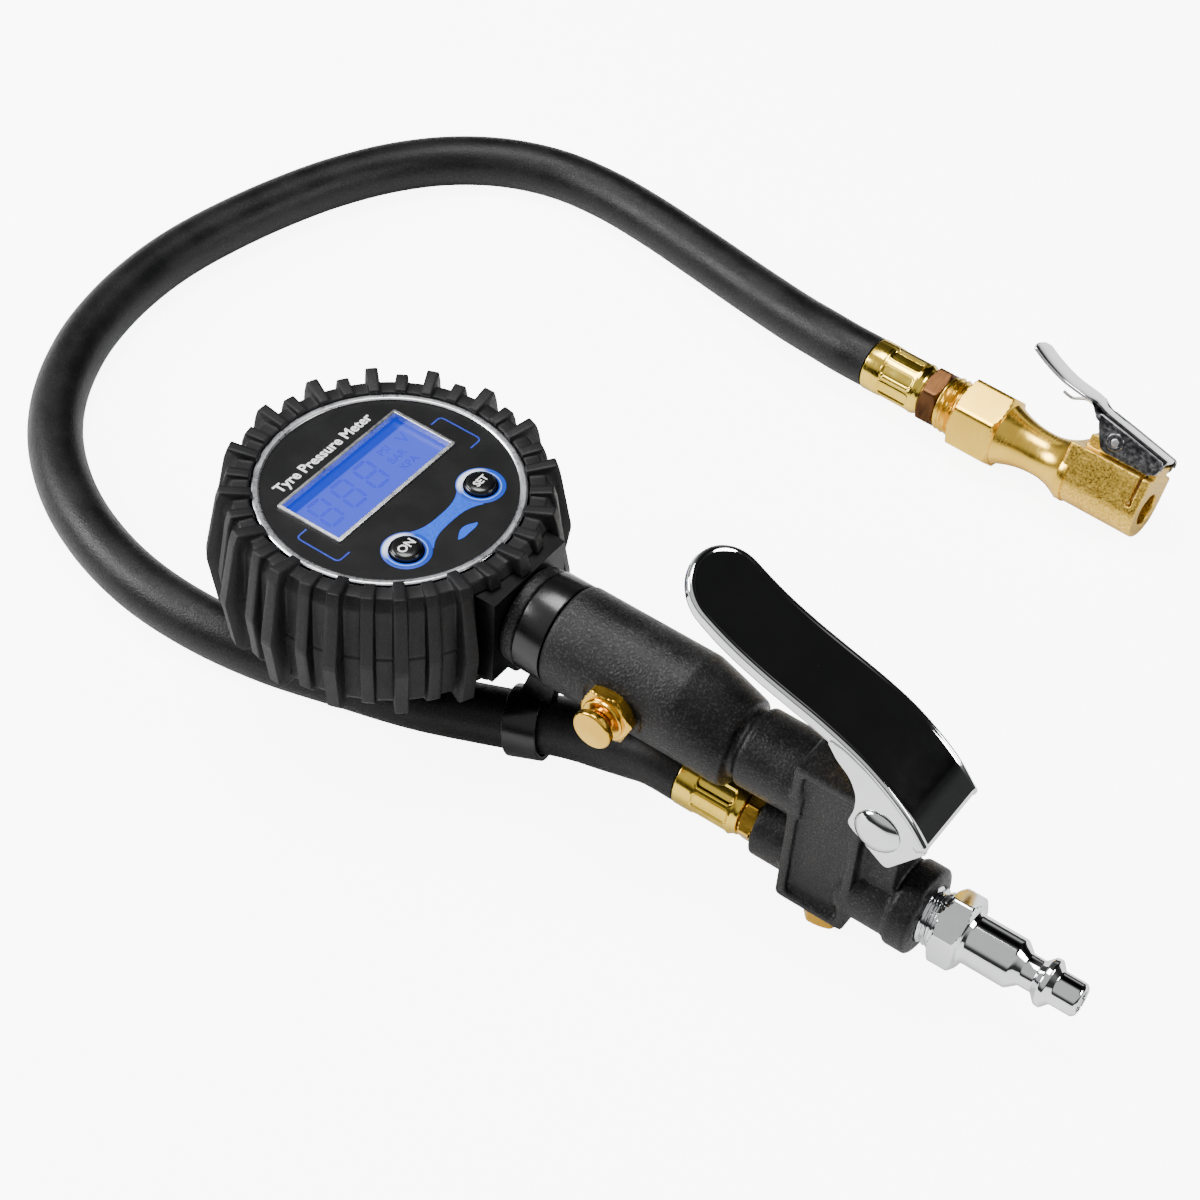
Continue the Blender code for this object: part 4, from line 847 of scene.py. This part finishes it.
# %% The gun's casting
def prism(name, outline, low, high, where, soft=0.0, steps=4):
    """An outline of (along, up) points carried across from low to high."""
    line = softened(outline, soft, steps, closed=True) if soft else np.asarray(outline, float)
    count = len(line)
    points = [placed(where, line[:, 0], np.full(count, c), line[:, 1]) for c in (low, high)]
    faces = grid_faces(2, count, False, True).tolist()
    faces += [list(range(count)), list(range(count, 2 * count))]
    return link_mesh(name, np.concatenate(points), faces)


def cast(name, parts, voxel_mm, rounds):
    """Fuse closed shells on a grid of voxels and smooth the result."""
    piece = joined(name, parts)
    fuse = piece.modifiers.new("fuse", "REMESH")
    fuse.mode, fuse.voxel_size, fuse.use_smooth_shade = "VOXEL", voxel_mm * MM, True
    melt = piece.modifiers.new("melt", "SMOOTH")
    melt.factor, melt.iterations = 0.5, rounds
    return baked(piece)


BARREL_LINE = [
    (-32.1, 0.0, BARREL_Z), (-32.1, 11.5, BARREL_Z), (-31.3, 12.0, BARREL_Z), (-28.6, 12.1, BARREL_Z),
    (-28.5, 10.9, BARREL_Z), (-20.6, 10.9, BARREL_Z), (-20.5, 12.3, BARREL_Z), (-19.9, 12.65, BARREL_Z),
    (13.5, 12.6, BARREL_Z), (19.0, 11.95, BARREL_Z - 1.2), (25.1, 11.25, BARREL_Z - 2.8),
    (27.1, 10.8, BARREL_Z - 3.0), (28.0, 8.3, REAR_Z - 0.4), (29.4, 8.3, REAR_Z), (30.3, 9.6, REAR_Z),
    (47.7, 9.6, REAR_Z), (47.7, 0.0, REAR_Z),
]
BLOCK, RECESS = oblong(44.7, 62.5, 9.2, 53.2), oblong(47.0, 60.3, 11.5, 51.0)
INLET_LINE = [
    (58.5, 0), (58.5, 9.5), (71.2, 9.5), (72.3, 10.6), (77.4, 10.6), (78.2, 8.8), (78.2, 6.9), (75.0, 6.9),
    (75.0, 0),
]
PIVOT = np.array([66.7, 0.0, 49.7])
RIVET = frame_at(PIVOT, (0, 1, 0), (-1, 0, 0))


def barrel():
    """Circles whose radius and height of centre both follow the line along the gun."""
    line = softened(BARREL_LINE, 0.5, 5)
    turn = np.linspace(0, 2 * np.pi, 120, endpoint=False)
    across = line[:, 1:2] * np.cos(turn)
    x = np.broadcast_to(line[:, :1], across.shape)
    return surface("barrel", placed(WORLD, x, across, line[:, 2:] + line[:, 1:2] * np.sin(turn)))


def lug():
    """The lug under the lever: a round top about the pivot and straight sides down to the inlet."""
    turn = np.radians(np.linspace(120.0, -20.0, 24))
    top = [(PIVOT[0] + 6.2 * math.cos(t), PIVOT[2] + 6.2 * math.sin(t)) for t in turn]
    outline = [(59.5, PORT_Z), (59.5, 53.0), *top, (71.0, 36.0), (71.0, PORT_Z)]
    return prism("lug", outline, -6.2, 6.2, WORLD)


def gun_casting():
    """Barrel, block, lug, boss and inlet, fused."""
    block = prism("block", BLOCK, -9.5, 9.5, WORLD, 1.6, 6)
    recesses = [prism(f"recess_{k}", RECESS, 8.0 * k, 12.0 * k, WORLD, 1.2) for k in (-1, 1)]
    combined(block, recesses)
    tube_part = barrel()
    combined(tube_part, [turned("seat", disc(11.9, 16.0, 7.9), BLEED, 64)])
    boss = turned("boss", disc(35.6, 47.0, 8.5), PORT, 96, 0.8)
    inlet = turned("inlet", INLET_LINE, PORT, 96, 0.5)
    pad = turned("pad", disc(-9.4, 9.4, 5.2), RIVET, 64)
    return cast("gun_casting", [block, tube_part, boss, inlet, pad, lug()], 0.4, 2)


dress(gun_casting(), "casting", "gun", "casting", "gun_body")


def strap():
    """Two bands and a web: one band round the barrel, one round the hose."""
    upper = turned("upper_band", oblong(-28.2, -20.9, 11.2, 12.35), BARREL, 144, 0.35, closed=True)
    path = np.array(HOSE_ROUTE)
    along = path[7] - path[5]
    along /= np.linalg.norm(along)
    across = np.cross(along, (0.0, 0.0, 1.0))
    across /= np.linalg.norm(across)
    where = (path[6], along, across, np.cross(across, along))
    lower = turned("lower_band", oblong(-4.3, 4.3, 7.6, 8.75), where, 120, 0.35, closed=True)
    web = prism("web", [(-27.9, 30.5), (-21.2, 30.5), (-23.8, 16.8), (-32.2, 16.8)], -2.6, 0.8, WORLD, 0.3)
    return joined("hose_strap", [upper, lower, web])


dress(strap(), "strap", "gun", "plastic", "hose_clip")

# %% [markdown]
# The lever is stamped from sheet and chromed. Its top is a dished pan with a rolled rim, so its height
# depends on the distance from its outline. The sheet gets its thickness from a Solidify modifier.

# %% The lever
LEVER_HALF, LEVER_NOSE, SHEET, WALL = 11.0, 10.0, 1.1, 2.9
LEVER_LINE = [
    (78.3, 51.6), (73.2, 57.7), (68.0, 62.1), (62.0, 66.0), (56.0, 68.8), (49.0, 71.3),
    (42.0, 73.4), (35.0, 75.6), (28.0, 78.3), (22.0, 81.3), (16.2, 84.8), (10.7, 88.3),
]
EAR_LINE = [
    (51.5, 68.2), (54.6, 63.9), (58.3, 60.9), (60.4, 56.8), (60.7, 52.5), (59.5, 47.1), (70.2, 39.8),
    (78.0, 50.4),
]
RIVET_END = [(11.1, 2.0), (11.1, 5.4), (11.3, 5.6), (12.0, 5.0), (12.8, 3.8), (13.3, 2.2), (13.4, 0)]


def lever_sheet():
    """A quarter round at the outline, then a step down to the pan; walls hang from the outline."""
    path, length = smooth_path([(x, 0.0, z) for x, z in LEVER_LINE], 400)
    part = 1.0 - (1.0 - np.linspace(0.0, 1.0, 150)) ** 1.7
    even = np.linspace(0, 1, len(path))
    slope = np.gradient(path, axis=0)
    centre, tangent = (
        np.stack([np.interp(part, even, values[:, k]) for k in range(3)], 1) for values in (path, slope)
    )
    tangent /= np.linalg.norm(tangent, axis=1, keepdims=True)
    up = np.stack([-tangent[:, 2], np.zeros(len(part)), tangent[:, 0]], 1)
    up *= np.sign(up[:, 2:])
    body = LEVER_HALF - 0.5 * np.clip(part / 0.5, 0, 1)
    left = (1 - part) * length
    inside = np.clip(1 - left / LEVER_NOSE, 0, 1)
    half = body * np.sqrt(np.clip(1 - inside**2, 0.0, 1)) + 0.02
    share = np.sin(np.linspace(-1, 1, 61) * np.pi / 2)
    across = half[:, None] * share
    radial = np.sqrt(inside[:, None] ** 2 + (across / body[:, None]) ** 2)
    depth = np.where(inside[:, None] > 0, (1 - radial) * LEVER_NOSE, half[:, None] - np.abs(across))
    depth = np.clip(depth, 0, None)
    corner = 1.0 - np.sqrt(np.clip(1 - (1 - np.clip(depth / 1.0, 0, 1)) ** 2, 0, 1))
    height = -corner - 0.22 * eased((depth - 0.9) / 0.8)
    drop = np.where(part < 0.8, WALL, WALL - 0.9 * (part - 0.8) / 0.2)[:, None]
    walls = -1.0 - (drop - 1.0) * np.linspace(1.0, 0.2, 4)[None, :]
    across = np.concatenate([np.repeat(across[:, :1], 4, 1), across, np.repeat(across[:, -1:], 4, 1)], 1)
    height = np.concatenate([walls, height, walls[:, ::-1]], 1)
    sideways = across[..., None] * np.array([0.0, 1.0, 0.0])
    points = centre[:, None] + sideways + height[..., None] * up[:, None]
    return surface("lever_sheet", points, wrap_columns=False, sharp=50.0)


def lever():
    """The sheet, thickened inwards, and two ears round the rivet."""
    sheet = lever_sheet()
    thick = sheet.modifiers.new("thickness", "SOLIDIFY")
    thick.thickness, thick.offset, thick.use_even_offset = SHEET * MM, -1.0, False
    baked(sheet)
    line = [(x, z - 1.1) for x, z in LEVER_LINE if x > 50.0]
    outline = [*line, *EAR_LINE]
    ears = []
    for side in (-1, 1):
        ear = prism(f"ear_{side}", outline, 9.8 * side, LEVER_HALF * side, WORLD, 1.6, 6)
        ears.append(bevelled(ear, 0.3, 3))
    return joined("squeeze_lever", [sheet, *ears])


dress(lever(), "chrome", "lever", "chrome", "trigger_lever")
rivet_line = [(-along, radius) for along, radius in reversed(RIVET_END)] + RIVET_END
dress(turned("rivet", rivet_line, RIVET, 72, 0.6), "chrome", "lever", "chrome", "lever_rivet")

# %% [markdown]
# The air plug, the bleed valve and the plug under the block are turned from bar, and each is a nut, a thread
# and a few turned shoulders on one axis.

# %% Air plug, bleed valve and fittings
PLUG_R = 5.92
plug_line = [
    (66.4, 0), (66.4, 6.0), (80.8, 6.2), (80.8, 6.9), (82.2, 6.9), (88.2, 6.9), (89.2, PLUG_R),
    (99.7, PLUG_R), (100.3, 5.5), (102.2, 3.9), (105.3, 3.9), (107.0, 5.7), (108.3, 5.85), (109.9, 4.04),
    (115.1, 4.04), (115.85, 3.4), (115.85, 2.6), (108.0, 2.6), (108.0, 0),
]
plug = joined("air_plug", [
    turned("plug_turned", plug_line, PORT, 120, 0.3),
    thread("plug_thread", 76.0, 81.8, 6.85, 0.75, 1.4, PORT),
    nut("plug_nut", 81.7, 88.3, 16.0, PORT, math.radians(30.0)),
])
dress(plug, "chrome", "gun", "chrome", "inlet_nipple")
collar_line = [(15.0, 0.0), (15.0, 5.4), (16.3, 5.2), (16.5, 4.9), (16.5, 2.9), (16.0, 2.9), (16.0, 0.0)]
bushing = joined("bleed_nut", [
    nut("bleed_hexagon", 12.2, 15.6, 12.5, BLEED, math.radians(8.0)),
    turned("bleed_collar", collar_line, BLEED, 72, 0.15),
])
dress(bushing, "brass", "gun", "brass", "bleed_bushing")
knob_line = [
    (2.0, 0), (2.0, 1.9), (2.6, 1.9), (2.6, 1.0), (13.4, 1.0), (13.4, 2.6), (18.4, 2.6), (18.5, 4.6),
    (18.8, 4.95), (20.2, 4.95), (20.6, 4.5), (20.62, 0.5), (20.5, 0.0),
]
dress(turned("bleed_knob", knob_line, BLEED, 72, 0.2), "brass", "bleed", "brass", "bleed_button")
STEM = frame_at((53.6, 0, 0), (0, 0, 1), (1, 0, 0))
flange_line = [(5.6, 0), (5.6, 6.4), (8.0, 6.4), (8.0, 4.3), (13.5, 4.3), (13.5, 0)]
lower_plug = joined("chamber_plug", [
    nut("plug_hexagon", 0.0, 6.2, 10.0, STEM, math.radians(12.0)),
    turned("plug_flange", flange_line, STEM, 72, 0.3),
])
dress(lower_plug, "brass", "gun", "brass", "valve_plug")
hose_nut = joined("hose_nut", [
    nut("hose_hexagon", 31.4, 35.5, 12.4, PORT, 0.0),
    turned("hose_barb", [(16.0, 0), (16.0, 4.3), (42.0, 4.4), (42.0, 0)], PORT, 48, 0.2),
])
dress(hose_nut, "brass", "gun", "brass", "hose_fitting")

# %% [markdown]
# A ferrule is pressed onto the hose by jaws that leave long dents with rounded corners. The distance to a
# rounded rectangle says how deep the metal is at each point.

# %% Crimped ferrules
FERRULE_R, DENTS, DENT_TURN, DENT_DEPTH = 7.35, 8, 0.2, 0.50


def ferrule(name, start, end, where):
    """Radius = sleeve - depth inside each dent, a rounded rectangle on the unrolled sleeve."""
    line = softened([
        (start, 5.3), (start, FERRULE_R), (start + 4.3, FERRULE_R), (start + 5.0, FERRULE_R - 0.18),
        (end - 1.9, FERRULE_R - 0.12), (end - 0.9, FERRULE_R - 0.75), (end, FERRULE_R - 0.8), (end, 5.3),
    ], 0.3, 5, closed=True)
    fine = np.linspace(0, 1, 90)[1:-1]
    flat = [np.interp(fine, (0, 1), (start + 5.3, end - 2.2)), np.full(len(fine), FERRULE_R - 0.15)]
    order = int(np.argmax(np.where(line[:, 0] < (start + end) / 2, line[:, 0] + line[:, 1], -99)))
    line = np.concatenate([line[: order + 1], np.stack(flat, 1), line[order + 1 :]])
    turn = np.linspace(0, 2 * np.pi, 240, endpoint=False)
    sector = 2 * np.pi / DENTS
    off_turn = (np.mod(turn - DENT_TURN, sector) - sector / 2) * FERRULE_R
    off_along = line[:, 0] - (start + end + 2.6) / 2
    q = np.stack(np.broadcast_arrays(np.abs(off_along)[:, None] - 3.7, np.abs(off_turn)[None, :] - 0.75), -1)
    distance = np.linalg.norm(np.clip(q, 0, None), axis=-1) + np.minimum(q.max(-1), 0) - 1.0
    outer = (line[:, 1] > 6.8)[:, None]
    lip = np.exp(-(((distance - 0.42) / 0.22) ** 2)) * 0.10
    radius = line[:, 1:] + outer * (lip - DENT_DEPTH * eased((0.28 - distance) / 0.56))
    return spun(name, line[:, 0], radius, where, closed=True)


dress(ferrule("gun_sleeve", 14.3, 31.1, PORT), "gold", "gun", "gold", "gun_ferrule")
chuck_sleeve = dress(ferrule("chuck_sleeve", -42.4, -24.6, CHUCK), "gold", "gun", "gold", "chuck_ferrule")

# %% [markdown]
# The chuck is brass: a nut with a waist turned behind it, and a milled head with a mouth for the tyre valve.
# The milled head is cut with exact Booleans and remeshed finely, which rounds its edges as tumbling does.

# %% The chuck
CHUCK_HEX = math.radians(-13.0)
HEAD_HALF, HEAD_TOP, TONGUE_HALF = 8.2, 8.7, 4.3
PIN_ALONG, PIN_UP = 29.7, 13.1
HEAD_ENDS = ((19.6, 0.0), (19.6, 0.95), (20.2, 1.0), (42.8, 1.0), (43.3, 0.95), (43.3, 0.0))


def waist_line():
    """6.1 + 2.7 ((12-a)/12)^2.2 before the narrowest place, and 6.1 + 2.2 ((a-12)/7.6)^2 after it."""
    at = np.linspace(-0.4, 20.0, 60)
    before = 6.1 + 2.7 * (np.clip(12.0 - at, 0, None) / 12.0) ** 2.2
    after = 2.2 * (np.clip(at - 12.0, 0, None) / 7.6) ** 2
    return np.concatenate([[(-0.4, 0.0)], np.stack([at, before + after], 1), [(22.0, 8.6), (22.0, 0.0)]])


def chuck_head():
    """A U-shaped bar with a tongue on top, less the mouth, the slot of the tooth and the slit."""
    below = np.radians(np.linspace(180, 360, 40))
    outline = HEAD_HALF * np.stack([np.cos(below), np.sin(below)], 1)
    outline = np.concatenate([outline, [(HEAD_HALF, HEAD_TOP), (-HEAD_HALF, HEAD_TOP)]])
    rows = []
    for at, share in HEAD_ENDS:
        rows.append(placed(CHUCK, np.full(len(outline), at), outline[:, 0] * share, outline[:, 1] * share))
    head = surface("head", np.array(rows))
    tip = np.radians(np.linspace(150.0, 20.0, 16))
    top = [(PIN_ALONG + 2.4 * math.cos(t), PIN_UP + 2.4 * math.sin(t)) for t in tip]
    side = [(22.6, 6.0), (22.6, 12.0), (27.0, 12.6), *top, (33.0, 12.3), (43.0, 12.0), (43.0, 6.0)]
    combined(head, [prism("tongue", side, -TONGUE_HALF, TONGUE_HALF, CHUCK)], "UNION")
    combined(head, [
        turned("mouth", [(28.0, 0), (28.0, 4.3), (43.0, 4.3), (45.0, 5.6), (45.0, 0)], CHUCK, 72, 0.1),
        prism("tooth_slot", oblong(37.4, 42.1, 2.0, 15.0), -2.6, 2.6, CHUCK),
        prism("slit", oblong(40.3, 41.1, 1.4, 9.5), -12.0, 12.0, CHUCK),
        prism("slit_end", oblong(39.7, 41.2, 0.4, 1.7), -12.0, 12.0, CHUCK),
    ])
    return cast("chuck_head", [head], 0.24, 3)


waist = waist_line()
chuck_nut = joined("chuck_nut", [
    nut("chuck_hexagon", -13.2, 0.2, 19.0, CHUCK, CHUCK_HEX),
    spun("waist", waist[:, 0], np.repeat(waist[:, 1:], 120, 1), CHUCK, sharp=30.0),
])
dress(chuck_nut, "chuck", "gun", "brass", "chuck_body")
head_piece = dress(chuck_head(), "grain", "gun", "brass")
jam_nut = nut("chuck_jam_nut", -24.3, -18.9, 14.9, CHUCK, CHUCK_HEX)
dress(jam_nut, "bronze", "gun", "brass", "chuck_fitting")
chuck_thread = thread("chuck_thread", -19.4, -12.8, 7.95, 0.95, 1.7, CHUCK, 72)
dress(chuck_thread, "chuck", "gun", "brass")

# %% [markdown]
# The clip is bent from a strip of spring steel and chromed. A smooth path gives the bend, and its tooth
# reaches through the slot to hold the tyre valve's thread.

# %% The chuck's clip
CLIP_LINE = [
    (-2.0, 26.4), (4.0, 23.6), (10.0, 21.6), (16.0, 20.6), (19.6, 19.9), (22.4, 18.6), (30.0, 17.0),
    (44.0, 14.2),
]
EAR_PLATE = [
    (22.6, 18.2), (23.4, 15.4), (24.9, 12.6), (26.6, 9.9), (28.0, 9.3), (41.2, 9.2), (43.2, 10.3),
    (43.6, 14.0), (30.0, 16.8),
]


def clip_plate():
    """A strip 11.4 mm wide, and narrower over the tongue: a rounded section carried along the line."""
    path, _ = smooth_path([(a, 0.0, u) for a, u in CLIP_LINE], 120)
    tangent = directions(path)
    normal = np.stack([-tangent[:, 2], tangent[:, 0]], 1)
    section = rounded_rectangle(5.7, 0.5, 0.4, 5)
    share = np.ones(len(path))
    share[[0, -1]] = 0.0
    half = np.sqrt(np.clip(np.linspace(0, 1, len(path)) / 0.035, 0.25, 1.0))
    half *= 1.0 - 0.36 * eased((path[:, 0] - 17.0) / 5.0)
    across = section[None, :, 0] * (share * half)[:, None]
    lift = (section[None, :, 1] - 0.5) * share[:, None] - 0.5 * (1 - share[:, None])
    along = path[:, :1] + lift * normal[:, :1]
    up = path[:, 2:] + lift * normal[:, 1:]
    return surface("clip_plate", placed(CHUCK, along, across, up), sharp=40.0)


def fold(side):
    """The bend between plate and ear: (3.3 + 2.4 sin t, top - 2.4 (1 - cos t)), 0.6 mm thick."""
    along = np.linspace(19.0, 43.8, 60)
    top = np.interp(along, *np.array(CLIP_LINE).T) + 0.02
    t = np.linspace(0.0, np.pi / 2, 9)
    grow = np.clip((along - 19.0) / 3.5, 0.05, 1.0)[:, None]
    outer = (3.3 + 2.42 * np.sin(t), 2.4 * (1 - np.cos(t)))
    inner = (3.3 + 1.82 * np.sin(t)[::-1], 0.6 + 1.8 * (1 - np.cos(t)[::-1]))
    across = np.concatenate([outer[0], inner[0]])[None, :] * np.ones_like(grow)
    lift = top[:, None] - np.concatenate([outer[1], inner[1]])[None, :] * grow
    columns = across.shape[1]
    points = placed(CHUCK, np.repeat(along[:, None], columns, 1), side * across, lift)
    caps = points[[0, -1]].mean(1, keepdims=True).repeat(columns, 1)
    return surface(f"fold_{side}", np.concatenate([caps[:1], points, caps[1:]]), sharp=40.0)


def clip():
    """A fold and an ear on each side of the tongue, a raised ring round the pin, and the tooth."""
    parts = [fold(-1), fold(1)]
    pin = placed(CHUCK, PIN_ALONG, 0.0, PIN_UP)
    ring_line = [(5.6, 1.3), (5.6, 2.5), (6.1, 2.3), (6.1, 1.3)]
    for side in (-1, 1):
        plate = prism(f"clip_ear_{side}", EAR_PLATE, 4.7 * side, 5.7 * side, CHUCK, 0.8, 5)
        parts.append(bevelled(plate, 0.25, 2))
        spot = frame_at(pin, CHUCK[2] * side, CHUCK[1])
        parts.append(turned(f"boss_{side}", ring_line, spot, 40, 0.15, closed=True))
    tooth_line = [(38.2, 14.8), (38.2, 5.2), (38.5, 4.1), (39.3, 4.1), (39.3, 14.6)]
    parts.append(prism("tooth", tooth_line, -2.0, 2.0, CHUCK, 0.2))
    return joined("clip_ears", parts)


clip_piece = dress(clip_plate(), "chrome", "clip", "chrome", "chuck_lever")
# The ears take the darker metal: a painted dark reflection on their chrome.
ear_piece = dress(clip(), "dark", "clip", "chrome")
PIN = frame_at(placed(CHUCK, PIN_ALONG, 0.0, PIN_UP), CHUCK[2], CHUCK[1])
pin_piece = turned("clip_pin", disc(-6.2, 6.2, 1.05), PIN, 32, 0.3)
dress(pin_piece, "steel", "gun", "steel", "chuck_lever_pin")
curl = [(20.0, 17.6), (18.0, 18.3), (16.0, 18.4), (14.0, 17.6), (12.5, 17.0), (11.0, 17.1), (9.5, 17.5)]
curl_along, curl_up = np.array(curl).T
leg, _ = smooth_path(placed(CHUCK, curl_along, np.zeros(len(curl)), curl_up), 50)
spring_leg = dress(tube("clip_spring_leg", leg, 0.45, 20), "steel", "clip", "steel", "chuck_spring")

# %% [markdown]

# %% [markdown]
# The floor is plain and pale, and the light is soft: a large lamp overhead, one on the left that draws the
# long highlights and a small one on the right. The lever and the face mirror two dark patches of sky.

# %% Floor and light
FLOOR_LIFT, FLOOR_HALF = 7.5, 4000.0
SKY_WHITE = 8.0
LEVER_MIRRORS, FACE_MIRRORS = (0.43, 0.58, 0.69), (-0.377, 0.583, 0.720)
floor_points = [[(x, y, -0.02) for x in (-FLOOR_HALF, FLOOR_HALF)] for y in (-FLOOR_HALF, FLOOR_HALF)]
floor = surface("floor", np.array(floor_points), wrap_columns=False)
floor_finish, floor_place, floor_shader = new_finish("pale_floor")
tone = floor_place.noise(400.0, 2.0).mix((0.92, 0.92, 0.92), (0.94, 0.94, 0.94))
feed(floor_shader, Base_Color=tone, Roughness=0.9, Specular_IOR_Level=0.1)
seen_floor = floor_place.node("ShaderNodeLightPath")
feed(floor_shader, Emission_Color=(1.0, 1.0, 1.0), Emission_Strength=FLOOR_LIFT * seen_floor)
floor.data.materials.append(floor_finish)


def lamp(name, place, aim, size, power):
    """A square lamp at place that faces aim, in millimetres, size across."""
    data = bpy.data.lights.new(name, "AREA")
    data.shape, data.size, data.energy = "SQUARE", size * MM, power
    lit = bpy.data.objects.new(name, data)
    bpy.context.collection.objects.link(lit)
    look = Vector(aim) - Vector(place)
    turn = look.to_track_quat("-Z", "Y").to_matrix().to_4x4()
    lit.matrix_world = Matrix.Translation(Vector(place) * MM) @ turn
    return lit


lamp("left_lamp", (-750.0, -350.0, 520.0), (-20, 0, 30), 420.0, 12.0)
lamp("top_lamp", (-260.0, 130.0, 1000.0), (-40, 60, 30), 420.0, 10.0)
lamp("right_lamp", (700.0, 250.0, 420.0), (0, 0, 30), 260.0, 4.0)


def sky():
    """White to the camera; to everything else it brightens with height, with two dark patches."""
    world = bpy.data.worlds.new("studio")
    world.use_nodes = True
    bpy.context.scene.world = world
    tree = world.node_tree
    back = tree.nodes["Background"]
    look = Wire(tree, tree.nodes.new("ShaderNodeTexCoord").outputs["Generated"])
    over_lever, over_face = look.towards(LEVER_MIRRORS), look.towards(FACE_MIRRORS)
    dark = (1.0 - 0.98 * over_lever.between(0.74, 0.86)) * (1.0 - 0.88 * over_face.between(0.84, 0.95))
    bright = dark * (0.04 + 0.60 * look.axis(2).between(0.16, 0.5))
    seen = look.node("ShaderNodeLightPath")
    light = SKY_WHITE * seen + (1.0 - seen) * bright
    feed(back, Color=(1.0, 1.0, 1.0), Strength=light)
    return world


sky()
